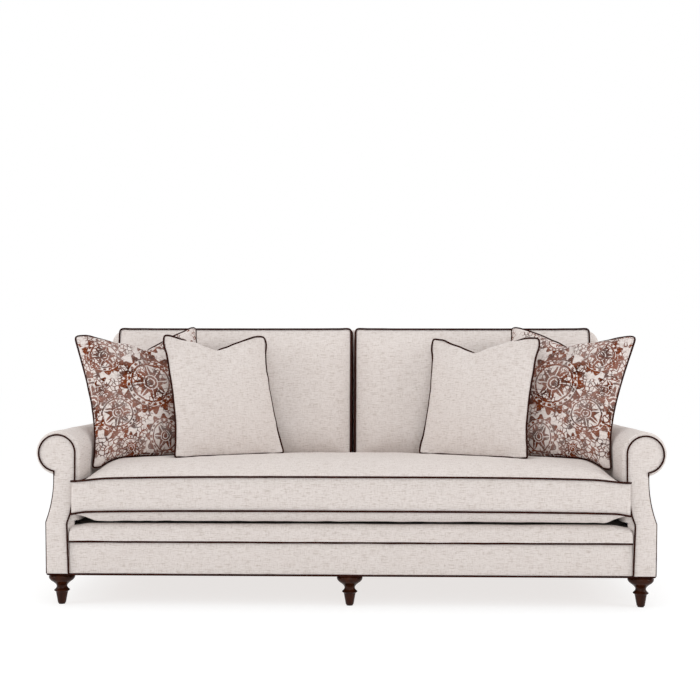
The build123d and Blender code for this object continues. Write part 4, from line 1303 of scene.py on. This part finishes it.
def pillow_blank(half, puffed):
    """Two square panels sewn edge to edge, lightly filled, and the vertices of the seam."""
    bm = bmesh.new()
    count = round(2 * half / PILLOW_CELL)
    bmesh.ops.create_grid(bm, x_segments=count, y_segments=count, size=half)
    reach = max(v.co.x for v in bm.verts)
    bmesh.ops.scale(bm, vec=(half / reach, half / reach, 1), verts=bm.verts)
    round_corners(bm, half, half, PILLOW_CORNER_R)
    bmesh.ops.duplicate(bm, geom=bm.verts[:] + bm.edges[:] + bm.faces[:])
    bm.verts.ensure_lookup_table()
    panel = len(bm.verts) // 2
    for number, vert in enumerate(bm.verts):
        across = max(0.0, 1 - (vert.co.x / half) ** 2)
        up = max(0.0, 1 - (vert.co.y / half) ** 2)
        flat = 0.0 if vert.is_boundary else puffed * (across * up) ** 0.5
        vert.co.z = flat * (1 if number < panel else -1)
    bmesh.ops.remove_doubles(bm, verts=bm.verts, dist=1e-5)
    bmesh.ops.recalc_face_normals(bm, faces=bm.faces)
    return bm, seam_loop([v for v in bm.verts if v.co.z == 0])


def settle(bm, flat, half):
    """Lowers the bottom edge of a standing pillow on to the seat cushion, and eases that out above it."""
    gaps = []
    for vert, (x, y) in flat.items():
        if y < -half + PILLOW_CELL / 2 and abs(vert.co.x) < seat_half_x - SETTLE_EDGE:
            below = seat_top.ray_cast(vert.co + Vector((0, 0, SETTLE_ABOVE)), Vector((0, 0, -1)))[0]
            if below:
                gaps.append((x, vert.co.z - below.z - 2 * WELT_R - PILLOW_CLEAR))
    for vert, (x, y) in flat.items():
        gap = min(gaps, key=lambda spot: abs(spot[0] - x))[1]
        vert.co.z -= gap * ease((SETTLE_UP_TO - y / half) / (1 + SETTLE_UP_TO))


def throw_pillow(kind, side, sign, half, thick, draw, folded, centre, turns, ears, dip, finish, slot):
    """Ears are the four corners, low then high and outer then inner, and dip is the bottom of the V. Both are
    measured across and up from the centre, as on the left side of the sofa."""
    bm, seam = pillow_blank(half, thick)
    flat = {vert: vert.co.xy for vert in bm.verts}
    puff(bm, PILLOW_PRESSURE, PILLOW_SWELL)
    low_out, low_in, high_out, high_in = [Vector(ear) for ear in ears]
    drop = (high_out.y + high_in.y) / 2 - dip[1]
    sewn = set(seam)
    for vert, (x, y) in flat.items():
        z = vert.co.z
        across, up, height = 0.5 + x / (2 * half), 0.5 + y / (2 * half), y / half
        spot = low_out.lerp(low_in, across).lerp(high_out.lerp(high_in, across), up)
        from_dip = x - dip[0]
        sunk = max(0.0, 1 - abs(from_dip) / (half * PILLOW_DIP_SPREAD)) ** PILLOW_DIP_POINT
        sunk *= ease((height - PILLOW_DIP_FROM) / (1 - PILLOW_DIP_FROM))
        crease = math.exp(-(from_dip / PILLOW_CREASE_WIDTH) ** 2)
        crease *= ease((height - PILLOW_CREASE_FROM) / PILLOW_CREASE_LENGTH)
        below = (half - y) / PILLOW_CELL
        hidden = ease((x / half + folded) / PILLOW_FOLD_START) * ease(1 - from_dip / PILLOW_FOLD_END)
        fold = PILLOW_FOLD * hidden * below * math.exp(1 - below) if z > 0 else 0.0
        tuck = PILLOW_TUCK * hidden if vert in sewn and below < 0.5 else 0.0
        if x < 0:
            waist = math.sin(math.pi * max(0.0, up) ** PILLOW_WAIST_LOW)
        else:
            waist = 1 - min(1.0, abs(height)) ** 2
        spot.x -= math.copysign(draw * waist * (abs(x) / half) ** 3, x)
        spot.y += fold - drop * sunk - tuck * PILLOW_TUCK_FALL
        vert.co = (spot.x, spot.y, z * (1 - PILLOW_CREASE_DEPTH * crease) - tuck + spot.z)
    pucker(bm, lambda at: max(0.0, half - max(abs(at.x), abs(at.y))), *PILLOW_FOLDS)
    lay_cloth(bm)
    yaw, lean, roll = [math.radians(turn) for turn in turns]
    stand = (Matrix.Translation(centre) @ Matrix.Rotation(yaw, 4, "Z") @ Matrix.Rotation(-lean, 4, "X")
             @ Matrix.Rotation(roll, 4, "Y") @ Matrix.Rotation(math.pi / 2, 4, "X"))
    bmesh.ops.transform(bm, matrix=stand, verts=bm.verts)
    settle(bm, flat, half)
    bmesh.ops.scale(bm, vec=(-sign, 1, 1), verts=bm.verts)
    bmesh.ops.recalc_face_normals(bm, faces=bm.faces)
    bm.normal_update()
    cord = [(outward(seam, WELT_R * PILLOW_WELT_SEWN_IN), True)]
    name = f"pillow_{kind}_{side}"
    smooth_piece(new_piece(bm, f"throw_{name}", finish, name, [name], sharp=180))
    welt(f"throw_pillow_cord_{kind}_{side}", cord, name, [f"pillow_welt_{kind}_{side}"])


OUTER_PILLOW = dict(half=0.253, thick=0.062, draw=0.033, folded=0.50, centre=(-0.766, -0.087, 0.7295),
                    turns=(35, 14, -4), finish=printed_linen(), slot="printed_fabric")
INNER_PILLOW = dict(half=0.227, thick=0.058, draw=0.020, folded=0.75, centre=(-0.482, -0.074, 0.7213),
                    turns=(33, 13, 0), finish=LINEN, slot="oatmeal_fabric")
throw_pillow("outer", "left", -1, dip=(0.012, 0.160), **OUTER_PILLOW, ears=(
    (-0.288, -0.2505, 0.026), (0.250, -0.250, 0), (-0.266, 0.2385, 0), (0.244, 0.2465, 0)))
throw_pillow("outer", "right", 1, dip=(-0.008, 0.178), **OUTER_PILLOW, ears=(
    (-0.288, -0.2505, 0.026), (0.250, -0.250, 0), (-0.285, 0.2385, 0), (0.240, 0.2470, 0)))
throw_pillow("inner", "left", -1, dip=(-0.010, 0.169), **INNER_PILLOW, ears=(
    (-0.234, -0.225, 0), (0.232, -0.223, 0), (-0.234, 0.2330, 0), (0.198, 0.2330, 0)))
throw_pillow("inner", "right", 1, dip=(0.022, 0.160), **INNER_PILLOW, ears=(
    (-0.228, -0.220, 0), (0.240, -0.223, 0), (-0.228, 0.2225, 0), (0.237, 0.2260, 0)))


# Stage: a wide white floor that keeps the soft shadow, a bright even sky, soft lamps in front, above and at
# both sides, and the camera where the picture was taken.
CAMERA_AT = (0.0907, -4.3925, 0.8308)
CAMERA_YAW = 0.0228
CAMERA_PITCH = 0.0141
CAMERA_ROLL = -0.0011
FOCAL_PIXELS = 1139.04
IMAGE_PIXELS = 700
SENSOR = 36.0
FLOOR_HALF = 30.0
FLOOR_WHITE = (0.9, 0.9, 0.9, 1)
FLOOR_SHADE = (0.27, 0.31, 0.33)
SKY_LIGHT = 0.80

scene = bpy.context.scene
scene.view_settings.view_transform = "Standard"


def in_view(tree):
    """One for what the camera sees, straight, in a gloss or through glass, and nought for other light."""
    path = place(tree, "ShaderNodeLightPath").outputs
    mirrored = calc(tree, "MAXIMUM", path["Is Glossy Ray"], path["Is Transmission Ray"])
    return calc(tree, "MAXIMUM", path["Is Camera Ray"], mirrored)


bm = bmesh.new()
bmesh.ops.create_grid(bm, x_segments=1, y_segments=1, size=FLOOR_HALF)
floor_mesh = bpy.data.meshes.new("floor")
bm.to_mesh(floor_mesh)
bm.free()
floor = bpy.data.objects.new("floor", floor_mesh)
scene.collection.objects.link(floor)
floor_finish, tree, shader = new_finish("white_floor")
shader.inputs["Base Color"].default_value = FLOOR_WHITE
shader.inputs["Roughness"].default_value = 1.0
shader.inputs["Specular IOR Level"].default_value = 0.0
faint = place(tree, "ShaderNodeBsdfDiffuse", {"Color": (*FLOOR_SHADE, 1)})
lit = [1 - shade * SKY_LIGHT for shade in FLOOR_SHADE]
glow = place(tree, "ShaderNodeEmission", {"Color": (*lit, 1)})
shown = place(tree, "ShaderNodeAddShader", {0: faint.outputs[0], 1: glow.outputs[0]})
both = place(tree, "ShaderNodeMixShader", {0: in_view(tree), 1: shader.outputs[0], 2: shown.outputs[0]})
tree.links.new(both.outputs[0], tree.nodes["Material Output"].inputs["Surface"])
floor_mesh.materials.append(floor_finish)

world = bpy.data.worlds.new("white_studio")
scene.world = world
world.use_nodes = True
tree = world.node_tree
sky = tree.nodes["Background"]
sky.inputs["Color"].default_value = (1, 1, 1, 1)
strength = calc(tree, "MULTIPLY_ADD", in_view(tree), 1 - SKY_LIGHT, SKY_LIGHT)
tree.links.new(strength, sky.inputs["Strength"])


def soft_lamp(name, at, aim, size, power):
    lamp = bpy.data.lights.new(name, "AREA")
    lamp.shape = "DISK"
    lamp.size = size
    lamp.energy = power
    stand = bpy.data.objects.new(name, lamp)
    stand.location = at
    stand.rotation_euler = (Vector(aim) - Vector(at)).to_track_quat("-Z", "Y").to_euler()
    scene.collection.objects.link(stand)


soft_lamp("key", at=(0.2, -2.9, 1.5), aim=(0, -0.4, 0.35), size=2.4, power=10)
soft_lamp("top", at=(0.0, -0.9, 3.6), aim=(0, -0.2, 0.45), size=3.0, power=9)
for sign in (-1, 1):
    soft_lamp("side", at=(sign * 3.2, -1.3, 1.4), aim=(0, -0.3, 0.5), size=1.0, power=17)

lens = bpy.data.cameras.new("camera")
lens.sensor_fit = "HORIZONTAL"
lens.sensor_width = SENSOR
lens.lens = FOCAL_PIXELS / IMAGE_PIXELS * SENSOR
camera = bpy.data.objects.new("camera", lens)
level = Matrix.Rotation(CAMERA_YAW, 4, "Z") @ Matrix.Rotation(math.pi / 2, 4, "X")
tilt = Matrix.Rotation(CAMERA_PITCH, 4, "X") @ Matrix.Rotation(-CAMERA_ROLL, 4, "Z")
camera.matrix_world = Matrix.Translation(CAMERA_AT) @ level @ tilt
scene.collection.objects.link(camera)
scene.camera = camera
